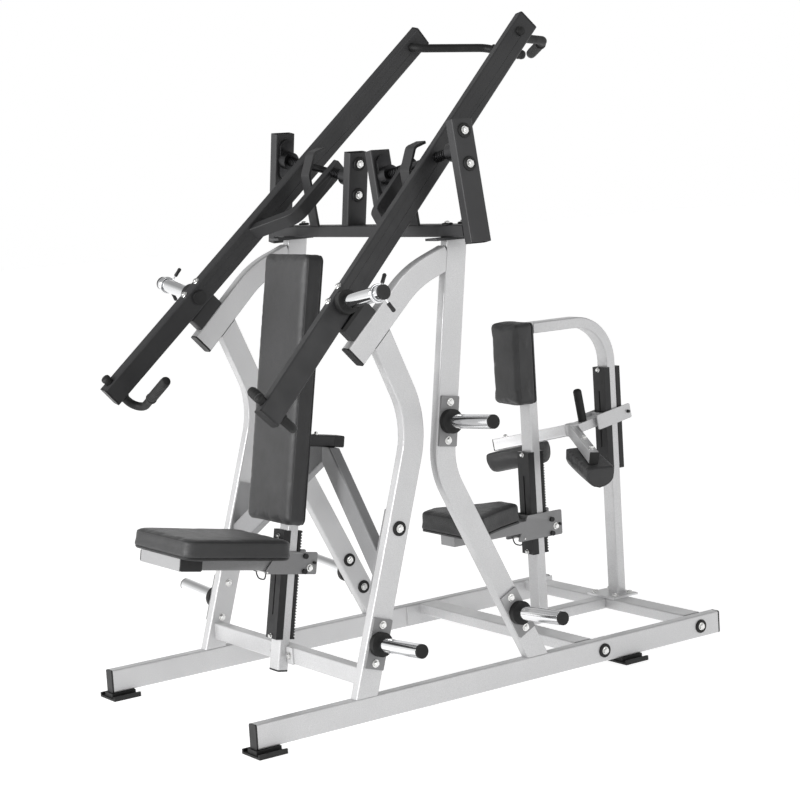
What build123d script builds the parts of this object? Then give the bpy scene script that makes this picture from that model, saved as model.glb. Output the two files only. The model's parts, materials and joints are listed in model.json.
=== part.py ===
from build123d import *

"""Plate-loaded machine with a converging press at the front and a lat pulldown at the back.

Millimetres. +Z up, the press seat faces -Y, +X is the right-hand side. Heights start at the floor
and distances along the machine start at the front end of the side rails; every part is moved when it
is written, so that the machine stands centred on the origin.
"""
import os
from math import atan2, cos, degrees, hypot, radians, sin

os.makedirs("parts", exist_ok=True)

SIDES = {"left": -1, "right": 1}

# ---- driving dimensions -------------------------------------------------------------------------
TUBE_WIDE = 40          # frame tube, across the machine
TUBE_DEEP = 80          # frame tube, in the plane of the side frame
WALL = 3
TUBE_CORNER = 6
PLATE = 8
GAP = 0.3               # between pieces of different bodies that come to rest on each other

RAIL_X = 481.5
RAIL_LENGTH = 1972
FOOT_HIGH = 22
RAIL_TOP = FOOT_HIGH + TUBE_DEEP
INNER_X = RAIL_X - TUBE_WIDE / 2
OUTER_X = RAIL_X + TUBE_WIDE / 2

# side frame centre lines, as (y, z)
FRONT_FOOT = (421.5, RAIL_TOP)
FRONT_KNEE = (687, 960)
FRONT_HEAD = (587, 1195)
FRONT_BEND = 320
REAR_FOOT = (1125.5, RAIL_TOP)
REAR_KNEE = (781, 793)
BEAM_Y = 892.5
BEAM_BOTTOM = 1542
BEAM_TOP = BEAM_BOTTOM + TUBE_WIDE
BEAM_PLATE = 8
REAR_HEAD = (884, BEAM_BOTTOM - BEAM_PLATE)
REAR_BEND = 240
TOP_TUBE_END = (463.5, 1196)
TOP_TUBE_BEND = (704, 1426.5)
TOP_TUBE_REAR = (845, 1480.5)
TOP_TUBE_RADIUS = 350

CROSS_HIGH = 60
CROSS_TAB = (38, 6)     # plate beside the seat post's foot: width, thickness
FRONT_CROSS_Z = 163
REAR_CROSS_Y = 1878
MID_CROSS_Y = 1360
LOW_CROSS_Z = RAIL_TOP - TUBE_WIDE / 2

# arms: each swings in a plane that leans inward by TILT; c runs outward along the pivot shaft,
# s runs up in that plane
TILT = 10
ARM_C = 691.5
PIVOT_Y = 893
PIVOT_S = 1702
ARM_FRONT = (106, 938)
ARM_REAR = (1374, 2155)
ARM_LENGTH = hypot(ARM_REAR[0] - ARM_FRONT[0], ARM_REAR[1] - ARM_FRONT[1])
ARM_ANGLE = degrees(atan2(ARM_REAR[1] - ARM_FRONT[1], ARM_REAR[0] - ARM_FRONT[0]))
PIVOT_T = hypot(PIVOT_Y - ARM_FRONT[0], PIVOT_S - ARM_FRONT[1])
OUTER_BRACKET_C = 856
INNER_BRACKET_C = 380
BRACKET_TOP_S = 1795
BRACKET_BOTTOM_S = 1395
SHAFT_R = 12.5
SHAFT_CLEARANCE = 0.05
BEARING_R = 40
BEARING_THICK = 44
HORN_T = 470
HORN_R = 24
HORN_LENGTH = 207
BRACE_C = 530
HANDLE_R = 15

PEG_R = 24
PEG_TILT = 4
PEG_LENGTH = 232
PEG_ROOT_R = 22         # turned down where the collar sits
PEG_CAP_R = 22.8
PEG_PLATE = (165, 72, 8)
COLLAR = (40, 1.5, 22)  # radius, distance from the plate, length
PEG_BOLT_SPACING = 125

POST_WIDE = 60
POST_DEEP = 40
GUIDE_WIDE = 66
RECLINE = 9.7
SEAT_POST_FOOT = (400, 125)
SEAT_POST_LENGTH = 485
SEAT_POST_BELOW = 12    # how far the post runs on below its foot, to its cap
RACK_WIDE = 60
REAR_POST_Y = 1540
REAR_POST_TOP = 1178
THIGH_POST_Y = 1923
THIGH_POST_BEND = 160

parts = {}


# ---- helpers ------------------------------------------------------------------------------------
def keep(name, *solids):
    """Stores a sub-part, as one solid or as a group of separate identical ones."""
    pieces = []
    for item in solids:
        pieces += list(item.solids())
    parts[name] = pieces


def mirrored(solid):
    """The same solid on the left-hand side of the machine."""
    return mirror(solid, about=Plane.YZ)


def both(solid):
    """The right-hand solid and its mirror image."""
    return [solid, mirrored(solid)]


def on_side(solid, side):
    return solid if side > 0 else mirrored(solid)


def section(wide, deep, wall, corner=TUBE_CORNER):
    outline = RectangleRounded(wide, deep, corner)
    if not wall:
        return outline
    return outline - RectangleRounded(wide - 2 * wall, deep - 2 * wall, max(corner - wall, 1))


def bent_tube(points, wide, deep, wall=WALL, bend=0.0, side=(1, 0, 0), corner=TUBE_CORNER):
    """Rectangular tube swept along a line; wide lies along the side direction."""
    line = FilletPolyline(*points, radius=bend) if bend else Polyline(*points)
    start = Plane(origin=line @ 0, x_dir=side, z_dir=line % 0)
    return sweep(start * section(wide, deep, wall, corner), path=line)


def round_bar(points, radius, bend=0.0):
    line = FilletPolyline(*points, radius=bend) if bend else Polyline(*points)
    return sweep(Plane(origin=line @ 0, z_dir=line % 0) * Circle(radius), path=line)


def cylinder_between(start, end, radius):
    axis = Vector(*end) - Vector(*start)
    frame = Plane(origin=start, z_dir=axis)
    return extrude(frame * Circle(radius), axis.length)


def side_points(points, x=RAIL_X):
    return [(x, y, z) for y, z in points]


def past(start, end, extra):
    """The point on the line from start through end, extra beyond the end."""
    length = hypot(end[0] - start[0], end[1] - start[1])
    return tuple(e + (e - s) * extra / length for s, e in zip(start, end))


def hexagon_bolt(place, washer_r=17, washer=3.0, head_r=10.5, head=8.0):
    """Wide washer with a hexagon head on it, standing on a face; place gives the face's plane."""
    disc = extrude(place * Circle(washer_r), washer)
    top = place.offset(washer)
    return disc + extrude(top * RegularPolygon(head_r, 6), head)


def face_plane(point, normal, x_dir=(0, 0, 1)):
    return Plane(origin=point, z_dir=normal, x_dir=x_dir)


# ---- arm frame ----------------------------------------------------------------------------------
def arm_point(c, y, s):
    """World point from the arm plane's own distances."""
    a = radians(TILT)
    return (c * cos(a) - s * sin(a), y, c * sin(a) + s * cos(a))


ARM_OUT = (cos(radians(TILT)), 0, sin(radians(TILT)))
ARM_UP = (-sin(radians(TILT)), 0, cos(radians(TILT)))
ARM_ALONG = tuple(
    cos(radians(ARM_ANGLE)) * y + sin(radians(ARM_ANGLE)) * u for y, u in zip((0, 1, 0), ARM_UP))


def arm_plane(t, q=0.0, c=ARM_C):
    """Plane across the arm at t along it: x outward, y towards the arm's rear face, z along."""
    a = radians(ARM_ANGLE)
    y = ARM_FRONT[0] + t * cos(a) + q * sin(a)
    s = ARM_FRONT[1] + t * sin(a) - q * cos(a)
    return Plane(origin=arm_point(c, y, s), x_dir=ARM_OUT, z_dir=ARM_ALONG)


def arm_at(t, q=0.0, c=ARM_C):
    """World point on the arm: t along it, q behind its centre line, c outward."""
    return arm_plane(t, q, c).origin


# The arm's rear face looks down and back; in arm_plane that is -y when z runs along the arm.
REAR_SIGN = 1 if arm_plane(0).y_dir.Z < 0 else -1


# ---- base ---------------------------------------------------------------------------------------
CAP = 6


def side_rail():
    z = RAIL_TOP - TUBE_DEEP / 2
    return bent_tube([(RAIL_X, CAP, z), (RAIL_X, RAIL_LENGTH - CAP, z)], TUBE_WIDE, TUBE_DEEP)


def end_cap(place, wide=TUBE_WIDE, deep=TUBE_DEEP, plug=22, thick=CAP):
    """Plastic cap on a tube's end; place is the tube's end plane, looking outward."""
    cover = extrude(place * RectangleRounded(wide, deep, TUBE_CORNER), thick)
    inner = RectangleRounded(wide - 2 * WALL - 0.4, deep - 2 * WALL - 0.4, TUBE_CORNER - WALL)
    return cover + extrude(place * inner, -plug)


def floor_foot(y):
    """Plastic foot under a rail: a wide plate with raised ends and a block that takes the rail."""
    wide = 106
    long = 104
    plate = Pos(RAIL_X, y, 4) * Box(wide, long, 8)
    pad = Pos(RAIL_X, y, FOOT_HIGH / 2) * Box(TUBE_WIDE + 14, long - 12, FOOT_HIGH)
    lip = [Pos(RAIL_X + s * (wide / 2 - 4), y, 8) * Box(8, long, 16) for s in (-1, 1)]
    return plate + pad + lip[0] + lip[1]


def low_cross(y):
    """Cross member lying flat between the rails, with an end plate against each rail."""
    plate = 6
    half = INNER_X - plate
    line = [(-half, y, LOW_CROSS_Z), (half, y, LOW_CROSS_Z)]
    beam = bent_tube(line, TUBE_DEEP, TUBE_WIDE, side=(0, 1, 0))
    for s in (-1, 1):
        beam += Pos(s * (INNER_X - plate / 2), y, RAIL_TOP - TUBE_DEEP / 2) * Box(plate, 200, TUBE_DEEP - 6)
    return beam - Pos(0, y, LOW_CROSS_Z) * Box(2 * INNER_X, TUBE_DEEP - 2 * WALL, TUBE_WIDE - 2 * WALL)


def centre_spine():
    front = MID_CROSS_Y + TUBE_DEEP / 2
    rear = REAR_CROSS_Y - TUBE_DEEP / 2
    return bent_tube([(0, front, LOW_CROSS_Z), (0, rear, LOW_CROSS_Z)], POST_WIDE, TUBE_WIDE)


def front_cross():
    """Member between the front uprights that carries the foot of the press seat post."""
    y = on_line(FRONT_FOOT, FRONT_KNEE, FRONT_CROSS_Z)
    half = INNER_X
    beam = bent_tube([(-half, y, FRONT_CROSS_Z), (half, y, FRONT_CROSS_Z)], TUBE_WIDE, CROSS_HIGH,
                     side=(0, 1, 0))
    wide, thick = CROSS_TAB
    for s in (-1, 1):
        x = s * (POST_WIDE / 2 + 1 + wide / 2)
        beam += Pos(x, y - (TUBE_WIDE + thick) / 2, FRONT_CROSS_Z) * Box(wide, thick, CROSS_HIGH - 2)
    return beam


def on_line(low, high, z):
    """The y of the line between two (y, z) points at a height."""
    return low[0] + (high[0] - low[0]) * (z - low[1]) / (high[1] - low[1])


# ---- side frames --------------------------------------------------------------------------------
def top_tube_points():
    return [TOP_TUBE_END, TOP_TUBE_BEND, TOP_TUBE_REAR]


def front_upright():
    points = [past(FRONT_KNEE, FRONT_FOOT, 60), FRONT_KNEE, past(FRONT_KNEE, FRONT_HEAD, 80)]
    tube = bent_tube(side_points(points), TUBE_WIDE, TUBE_DEEP, bend=FRONT_BEND)
    tube = split(tube, bisect_by=Plane.XY.offset(RAIL_TOP), keep=Keep.TOP)
    along = Vector(0, TOP_TUBE_BEND[0] - TOP_TUBE_END[0], TOP_TUBE_BEND[1] - TOP_TUBE_END[1])
    under = Plane(origin=(RAIL_X, *TOP_TUBE_END), x_dir=(1, 0, 0), z_dir=along.cross(Vector(-1, 0, 0)))
    under = under.offset(-TUBE_DEEP / 2 if under.z_dir.Z > 0 else TUBE_DEEP / 2)
    halves = [split(tube, bisect_by=under, keep=keep_side) for keep_side in (Keep.TOP, Keep.BOTTOM)]
    return min(halves, key=lambda half: half.center().Z)


def rear_upright():
    points = [past(REAR_KNEE, REAR_FOOT, 60), REAR_KNEE, past(REAR_KNEE, REAR_HEAD, 40)]
    tube = bent_tube(side_points(points), TUBE_WIDE, TUBE_DEEP, bend=REAR_BEND)
    tube = split(tube, bisect_by=Plane.XY.offset(RAIL_TOP), keep=Keep.TOP)
    return split(tube, bisect_by=Plane.XY.offset(REAR_HEAD[1]), keep=Keep.BOTTOM)


def rear_upright_envelope():
    """The space of the rear upright without its hollow, to cut tubes that meet it."""
    points = [past(REAR_KNEE, REAR_FOOT, 60), REAR_KNEE, past(REAR_KNEE, REAR_HEAD, 40)]
    return bent_tube(side_points(points), TUBE_WIDE + 2, TUBE_DEEP, wall=0, bend=REAR_BEND, corner=1)


def top_tube():
    tube = bent_tube(side_points(top_tube_points()), TUBE_WIDE, TUBE_DEEP, bend=TOP_TUBE_RADIUS)
    tube = tube - rear_upright_envelope()
    tube = split(tube, bisect_by=Plane.XY.offset(REAR_HEAD[1]), keep=Keep.BOTTOM)
    return max(tube.solids(), key=lambda piece: piece.volume)


def top_tube_cap():
    along = Vector(0, TOP_TUBE_END[0] - TOP_TUBE_BEND[0], TOP_TUBE_END[1] - TOP_TUBE_BEND[1])
    return end_cap(Plane(origin=(RAIL_X, *TOP_TUBE_END), x_dir=(1, 0, 0), z_dir=along))


def beam_plate():
    """Plate between the crossbeam and the head of a side frame."""
    return Pos(RAIL_X, BEAM_Y - 25, BEAM_BOTTOM - BEAM_PLATE / 2) * Box(64, 150, BEAM_PLATE)


def top_crossbeam():
    """Tube across the two side frames, cut at each end to lie against the leaning outer brackets."""
    z = BEAM_BOTTOM + TUBE_WIDE / 2
    beam = bent_tube([(-640, BEAM_Y, z), (640, BEAM_Y, z)], TUBE_DEEP, TUBE_WIDE, side=(0, 1, 0))
    inner_face = OUTER_BRACKET_C - TUBE_WIDE / 2
    right = Plane(origin=arm_point(inner_face, BEAM_Y, 1500), z_dir=ARM_OUT)
    beam = split(beam, bisect_by=right, keep=Keep.BOTTOM)
    left_normal = (-ARM_OUT[0], 0, ARM_OUT[2])
    x, y, z = arm_point(inner_face, BEAM_Y, 1500)
    left = Plane(origin=(-x, y, z), z_dir=left_normal)
    beam = split(beam, bisect_by=left, keep=Keep.BOTTOM)
    for piece in (beam_plate(), stop_hook()):
        beam = beam + piece + mirrored(piece)
    return beam


def bracket_tube(c, bottom_s):
    """Leaning bracket that carries a bearing; it stands square to the pivot shaft."""
    low = arm_point(c, BEAM_Y, bottom_s)
    high = arm_point(c, BEAM_Y, BRACKET_TOP_S)
    return bent_tube([low, high], TUBE_WIDE, TUBE_DEEP, side=ARM_OUT)


def outer_bracket():
    return bracket_tube(OUTER_BRACKET_C, BRACKET_BOTTOM_S)


def inner_bracket():
    tube = bracket_tube(INNER_BRACKET_C, BRACKET_BOTTOM_S + 100)
    return split(tube, bisect_by=Plane.XY.offset(BEAM_TOP), keep=Keep.TOP)


def bearing(c_face, direction):
    """Two-bolt flange bearing on a bracket face, bored for the pivot shaft."""
    out = Vector(*ARM_OUT) * direction
    base = Plane(origin=arm_point(c_face, PIVOT_Y, PIVOT_S), x_dir=ARM_UP, z_dir=out)
    flange = extrude(base * SlotOverall(148, 56), 12)
    boss = extrude(base * Circle(BEARING_R - 8), BEARING_THICK)
    bore = extrude(base * Circle(SHAFT_R + SHAFT_CLEARANCE), BEARING_THICK)
    return flange + boss - bore


def bearings():
    outer = bearing(OUTER_BRACKET_C - TUBE_WIDE / 2, -1)
    inner = bearing(INNER_BRACKET_C + TUBE_WIDE / 2, 1)
    return both(outer) + both(inner)


HOOK_X = 304
HOOK_LINE = [(859, BEAM_TOP), (834, 1762), (862, 1838), (905, 1852)]       # as (y, z)
HOOK_SECTION = (52, 10)


def stop_hook():
    """Flat bar that stands in front of the pivot shaft and curls back over it."""
    points = side_points(HOOK_LINE, HOOK_X)
    return bent_tube(points, *HOOK_SECTION, wall=0, bend=20, corner=2)


# ---- arm rests ----------------------------------------------------------------------------------
REST_MIDDLE = 92        # along the top tube from its end
REST_LONG = 126


def rest_plane():
    """On the top face of the curved tube's straight run: z away from the tube, y along it."""
    along = Vector(0, TOP_TUBE_BEND[0] - TOP_TUBE_END[0], TOP_TUBE_BEND[1] - TOP_TUBE_END[1]).normalized()
    up = Vector(0, -along.Z, along.Y)
    middle = Vector(RAIL_X, *TOP_TUBE_END) + along * REST_MIDDLE + up * (TUBE_DEEP / 2)
    return Plane(origin=middle, x_dir=(1, 0, 0), z_dir=up)


REST_HIGH = 46


def rest_block():
    return extrude(rest_plane() * RectangleRounded(TUBE_WIDE, REST_LONG, 4), REST_HIGH)


def rest_pad():
    """Rubber pad on the block, cut to lie flat against the resting arm."""
    blank = extrude(rest_plane().offset(REST_HIGH) * RectangleRounded(TUBE_WIDE, REST_LONG, 4), 40)
    arm = arm_plane(HORN_T)
    face = Plane(origin=Vector(*arm_at(HORN_T, TUBE_DEEP / 2 + GAP)), x_dir=ARM_OUT,
                 z_dir=arm.y_dir * REAR_SIGN)
    halves = [split(blank, bisect_by=face, keep=side) for side in (Keep.TOP, Keep.BOTTOM)]
    return min(halves, key=lambda half: half.center().Z)


# ---- plate pegs ---------------------------------------------------------------------------------
PEGS = [(REAR_KNEE, REAR_HEAD, 948), (REAR_FOOT, REAR_KNEE, 268), (FRONT_FOOT, FRONT_KNEE, 269)]


def peg_base(low, high, z):
    """Plane on the outer face of an upright: x along the upright, z outward."""
    along = Vector(0, high[0] - low[0], high[1] - low[1]).normalized()
    return Plane(origin=(OUTER_X, on_line(low, high, z), z), x_dir=along, z_dir=(1, 0, 0))


def peg_plate(place):
    long, wide, thick = PEG_PLATE
    return extrude(place * RectangleRounded(long, wide, 4), thick)


def peg_frame(place):
    """Plane at the peg's root, tilted up so that plates do not slide off."""
    axis = Vector(cos(radians(PEG_TILT)), 0, sin(radians(PEG_TILT)))
    return Plane(origin=place.offset(PEG_PLATE[2]).origin, x_dir=(0, 1, 0), z_dir=axis)


def peg_tube(place):
    root = peg_frame(place)
    bare = COLLAR[1] + COLLAR[2]
    tube = extrude(root.offset(-6) * Circle(PEG_ROOT_R), bare + 6)
    tube += extrude(root.offset(bare) * Circle(PEG_R), PEG_LENGTH - bare)
    tube -= extrude(root.offset(10) * Circle(PEG_R - 4), PEG_LENGTH)
    return tube - peg_plate(place)


def peg_collar(place):
    radius, start, long = COLLAR
    root = peg_frame(place).offset(start)
    ring = extrude(root * Circle(radius), long) - extrude(root * Circle(PEG_ROOT_R), long)
    rims = ring.edges().filter_by(GeomType.CIRCLE).sort_by(Axis.X)[-2:]
    rim = max(rims, key=lambda edge: edge.radius)
    return chamfer([rim], 1.0) - peg_plate(place)


def peg_cap(place):
    end = peg_frame(place).offset(PEG_LENGTH)
    return extrude(end * Circle(PEG_CAP_R), 7) + extrude(end * Circle(PEG_R - 4.2), -20)


# ---- press station ------------------------------------------------------------------------------
def lean_plane(y, z):
    """Reclined frame: x across, y towards the back of the machine, z up along the post."""
    a = radians(RECLINE)
    return Plane(origin=(0, y, z), x_dir=(1, 0, 0), z_dir=(0, sin(a), cos(a)))


def seat_place(up, back=0.0):
    """The reclined frame at a distance up the seat post, from the post's foot."""
    a = radians(RECLINE)
    y = SEAT_POST_FOOT[0] + up * sin(a) + back * cos(a)
    z = SEAT_POST_FOOT[1] + up * cos(a) - back * sin(a)
    return lean_plane(y, z)


def front_seat_post():
    whole = SEAT_POST_LENGTH + SEAT_POST_BELOW
    tube = extrude(seat_place(-SEAT_POST_BELOW) * section(POST_WIDE, POST_DEEP, WALL), whole)
    y = on_line(FRONT_FOOT, FRONT_KNEE, FRONT_CROSS_Z)
    keep_out = Pos(0, y, FRONT_CROSS_Z) * Box(2 * INNER_X, TUBE_WIDE, CROSS_HIGH)
    tube -= keep_out
    return max(tube.solids(), key=lambda piece: piece.volume)


def guide_strip(place, long, front=20, lip=8):
    """Plastic slide that wraps the front of a post; place is on the post's axis, at its foot."""
    depth = front + lip
    strip = extrude(place * Pos(0, -POST_DEEP / 2 - front + depth / 2) * Rectangle(GUIDE_WIDE, depth), long)
    groove = extrude(place * Pos(0, -POST_DEEP / 2 + lip) * Rectangle(POST_WIDE, 2 * lip), long)
    slot_long = long * 0.55
    slot = place.offset(long * 0.22) * Pos(0, -POST_DEEP / 2 - front) * Rectangle(6, 8)
    return strip - groove - extrude(slot, slot_long)


def toothed_rack(place, long, pitch=10.0, tooth=4.0, wide=RACK_WIDE, deep=16):
    """Rack behind a post that the seat's pawl drops into."""
    rack = extrude(place * Pos(0, POST_DEEP / 2 + deep / 2) * Rectangle(wide, deep), long)
    count = int(long / pitch) - 1
    for i in range(count):
        notch = place.offset(pitch * (i + 0.75)) * Pos(0, POST_DEEP / 2 + deep) * Rectangle(wide, 2 * tooth)
        rack -= extrude(notch, pitch / 2)
    return rack


# ---- seats --------------------------------------------------------------------------------------
SIDE_PLATE = 6
TRACK = GUIDE_WIDE / 2 + 1          # half the width between a carriage's side plates
WEB = 8
GLIDES = ((47, 10, 9), (47, 62, 9), (84, 40, 5))       # behind the post, up the plate, radius
RELEASE_R = 3
RELEASE_LOOP = (30, 26)             # half width and drop of the wire loop
RELEASE_CLEARANCE = 0.05
CUSHION_EDGE = 9

FRONT_PLATE_UP = 315
FRONT_PLATE_HIGH = 76
FRONT_CUSHION_UP = 377.5
FRONT_CUSHION_THICK = 66
FRONT_TUBE = (60, 50, 380)          # wide, high, long
FRONT_CROSS = (272, 80, 40, -447)   # wide, deep, high, back
FRONT_RELEASE = (-98, 321)          # back and up
FRONT_CUSHION = ((188, -80), (202, -503))

REAR_PLATE_UP = 385
REAR_PLATE_HIGH = 92
REAR_CUSHION_UP = 458
REAR_CUSHION_THICK = 74
REAR_TUBE = (80, 42, 352)
REAR_RELEASE = (-82, 394)
REAR_CUSHION = ((52, -100), (66, -140), (102, -235), (164, -360), (128, -432))


def rear_place():
    return Plane(origin=(0, REAR_POST_Y, 0), x_dir=(1, 0, 0), z_dir=(0, 0, 1))


def in_place(place, wide, deep, high, back, up):
    """Box in a post's own frame, from its lower face up."""
    return extrude(place.offset(up) * Pos(0, back) * Rectangle(wide, deep), high)


def across(place, back, up, radius, reach):
    """Cylinder across the machine, reach long on each side of the middle."""
    face = Plane(origin=place.origin, x_dir=place.y_dir, z_dir=place.x_dir)
    return extrude(face.offset(-reach) * Pos(back, up) * Circle(radius), 2 * reach)


def side_plates(place, outline):
    """The two side plates of a carriage; the outline is in back and up distances."""
    face = Plane(origin=place.origin, x_dir=place.y_dir, z_dir=place.x_dir)
    shape = make_face(Polyline(*outline, close=True))
    shape = fillet(shape.vertices(), 6)
    plates = [extrude(face.offset(start) * shape, SIDE_PLATE) for start in (TRACK, -TRACK - SIDE_PLATE)]
    return plates[0] + plates[1]


def carriage(place, up, high, lean, tube, tube_up, release):
    """Side plates around the post, a web in front of it and the tube that carries the cushion."""
    body = side_plates(place, [(-112, up), (97, up), (97, up + high), (lean - 112, up + high)])
    body += in_place(place, 2 * TRACK, WEB, high - 8, -46, up + 4)
    wide, tall, long = tube
    body += in_place(place, wide, long, tall, -50 - long / 2, tube_up)
    bore = long + 10 - WALL
    body -= in_place(place, wide - 2 * WALL, bore, tall - 2 * WALL, -40 - bore / 2, tube_up + WALL)
    for back, rise, radius in GLIDES:
        body -= across(place, back, up + rise, radius, 2 * TRACK)
    return body - across(place, *release, RELEASE_R + RELEASE_CLEARANCE, 2 * TRACK)


def glide_pins(place, up):
    """Plastic glides behind the post, through both side plates."""
    reach = TRACK + SIDE_PLATE + 9
    return [across(place, back, up + rise, radius, reach) for back, rise, radius in GLIDES]


def release_loop(place, back, up):
    """Wire loop on a cross pin, pulled to free the seat."""
    half, drop = RELEASE_LOOP
    centre = place.offset(up) * Pos(0, back)
    corners = [(-half, 0), (-half + 4, -drop), (half - 4, -drop), (half, 0)]
    frame = Plane(origin=centre.position, x_dir=place.x_dir, z_dir=place.y_dir * -1)
    points = [(frame * Pos(x, y)).position for x, y in corners]
    wire = round_bar(points, 2.5, bend=9)
    return wire + across(place, back, up, RELEASE_R, TRACK + SIDE_PLATE + 3)


def cushion(place, half, up, thick, corner):
    """Flat cushion from one half of its outline, with its upper edge rounded."""
    outline = list(half) + [(-x, y) for x, y in reversed(half)]
    shape = make_face(Polyline(*outline, close=True))
    body = extrude(place.offset(up) * fillet(shape.vertices(), corner), thick)
    return fillet(body.faces().sort_by(Axis.Z)[-1].edges(), CUSHION_EDGE)


def front_carriage():
    """Carriage of the press seat, with a cross tube under the front of the cushion."""
    place = seat_place(0)
    wide, tall, long = FRONT_TUBE
    body = carriage(place, FRONT_PLATE_UP, FRONT_PLATE_HIGH, 52, FRONT_TUBE, FRONT_CUSHION_UP - tall - 0.5,
                    FRONT_RELEASE)
    cross_wide, cross_deep, cross_high, back = FRONT_CROSS
    low = FRONT_CUSHION_UP - cross_high - 0.5
    body += in_place(place, cross_wide - 2 * CAP, cross_deep, cross_high, back, low)
    bore = (cross_wide, cross_deep - 2 * WALL, cross_high - 2 * WALL)
    return body - in_place(place, *bore, back, low + WALL)


def front_cross_caps():
    place = seat_place(0)
    wide, deep, high, back = FRONT_CROSS
    middle = place.offset(FRONT_CUSHION_UP - high / 2 - 0.5)
    ends = [(middle * Pos(side * (wide / 2 - CAP), back), side) for side in (-1, 1)]
    return [end_cap(Plane(origin=end.position, x_dir=place.z_dir, z_dir=(side, 0, 0)), high, deep)
            for end, side in ends]


def rear_carriage():
    return carriage(rear_place(), REAR_PLATE_UP, REAR_PLATE_HIGH, 50, REAR_TUBE,
                    REAR_CUSHION_UP - REAR_TUBE[1] - 0.5, REAR_RELEASE)


# ---- thigh-pad assembly -------------------------------------------------------------------------
THIGH_TILT = 9.5
THIGH_UP = 790
STEM_LENGTH = 128
BRANCH_X = 285
BRANCH_Y = -0.5
BRANCH_Z = -0.22
BRANCH_SECTION = (34, 44)


def thigh_plane():
    """Tilted frame of the thigh-pad carriage at the post axis: y back and up, z square to it."""
    a = radians(THIGH_TILT)
    return Plane(origin=(0, THIGH_POST_Y, THIGH_UP), x_dir=(1, 0, 0), z_dir=(0, -sin(a), cos(a)))


def thigh_junction():
    """Where the two branches of the crossbar meet the stem, from the pad carriage's own frame."""
    return (thigh_plane().offset(-1) * Pos(0, -62 - STEM_LENGTH + 6)).position


def branch_end(side):
    return thigh_junction() + Vector(side, BRANCH_Y, BRANCH_Z) * BRANCH_X


def thigh_carriage():
    """Side plates, web, stem and the bent crossbar that carries the two pads."""
    place = thigh_plane()
    body = side_plates(place, [(-88, -28), (78, -28), (78, 28), (-88, 28)])
    body += in_place(place, 2 * TRACK, WEB, 50, -51, -25)
    body += in_place(place, 44, STEM_LENGTH + 8, 34, -54 - STEM_LENGTH / 2, -18)
    junction = thigh_junction()
    for side in (-1, 1):
        body += bent_tube([junction, branch_end(side)], *BRANCH_SECTION, wall=0, side=(0, 1, 0), corner=3)
    body += Plane(origin=junction, x_dir=(1, 0, 0), z_dir=(0, -0.1, 1)) * Cylinder(27, 42)
    return body - across(place, 62, 0, 6, 2 * TRACK)


def thigh_rubbers():
    """Grip that stands on the stem, a roller behind the post and the caps of the crossbar."""
    place = thigh_plane()
    foot = (place.offset(16) * Pos(0, -128)).position
    grip = cylinder_between(foot, foot + place.z_dir * 124, 16)
    pieces = [fillet(grip.edges().sort_by(Axis.Z)[-1], 12)]
    pieces.append(across(place, 62, 0, 6, TRACK + SIDE_PLATE + 8))
    for side in (-1, 1):
        out = branch_end(side) - thigh_junction()
        line = [branch_end(side), branch_end(side) + out.normalized() * 4]
        pieces.append(bent_tube(line, *BRANCH_SECTION, wall=0, side=(0, 1, 0), corner=3))
    return pieces


def thigh_pad():
    """Pad of D section under one branch of the crossbar, flat side up."""
    along = Vector(1, -0.36, BRANCH_Z).normalized()
    middle = thigh_junction() + Vector(212, -100, 212 * BRANCH_Z - 25)
    start = middle - along * 118
    across = Vector(0, 0, 1).cross(along).normalized()
    frame = Plane(origin=start, x_dir=across, z_dir=along)
    flip = 1 if frame.y_dir.Z > 0 else -1
    outline = Rectangle(112, 40, align=(Align.CENTER, Align.MIN if flip < 0 else Align.MAX))
    belly = Pos(0, -flip * 30) * Ellipse(56, 52)
    shape = outline + (belly - Pos(0, flip * 60) * Rectangle(140, 120))
    return extrude(frame * shape, 236)


# ---- posts at the back --------------------------------------------------------------------------
def rear_post():
    """Post in front of the thigh-pad post; it carries the rear seat and the chest pad."""
    line = [(0, REAR_POST_Y, RAIL_TOP), (0, REAR_POST_Y, REAR_POST_TOP)]
    return bent_tube(line, POST_WIDE, POST_DEEP)


def thigh_post():
    """Tube that rises from its base plate, bends over and meets the rear post at the chest pad."""
    bar_z = REAR_POST_TOP - POST_DEEP / 2
    points = [(0, THIGH_POST_Y, RAIL_TOP + PLATE), (0, THIGH_POST_Y, bar_z),
              (0, REAR_POST_Y + POST_DEEP / 2, bar_z)]
    tube = bent_tube(points, POST_WIDE, POST_DEEP, bend=THIGH_POST_BEND)
    plate = Pos(0, REAR_CROSS_Y + 22, RAIL_TOP + PLATE / 2) * Box(150, 124, PLATE)
    return tube + plate


GUIDE_REAR = (325, 380)
GUIDE_THIGH = (588, 388)
GUIDE_FRONT = (92, 370)


def slide_set(place, long, teeth=True):
    if teeth:
        return [guide_strip(place, long), toothed_rack(place, long)]
    deep = 20
    return [guide_strip(place, long), in_place(place, RACK_WIDE, deep, long, (POST_DEEP + deep) / 2, 0)]


# ---- pads on the frame --------------------------------------------------------------------------
PAD_LEAN = 9.3
PAD_WIDE = 286
PAD_LONG = 914
PAD_THICK = 72
PAD_FRONT = (463.6, 1067)       # middle of the front face
BRACKET_UP = -172               # bracket's place along the pad, from its middle
BRACKET_LONG = 160
BRACKET_CAP = 40
BRACKET_TUBE = (60, 40)
STRUT_FOOT = (541, 490)


def pad_plane(up=0.0, back=0.0):
    """Frame on the back pad's front face: x across, y square to the pad, z up along it."""
    a = radians(PAD_LEAN)
    y = PAD_FRONT[0] + up * sin(a) + back * cos(a)
    z = PAD_FRONT[1] + up * cos(a) - back * sin(a)
    return Plane(origin=(0, y, z), x_dir=(1, 0, 0), z_dir=(0, sin(a), cos(a)))


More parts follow.
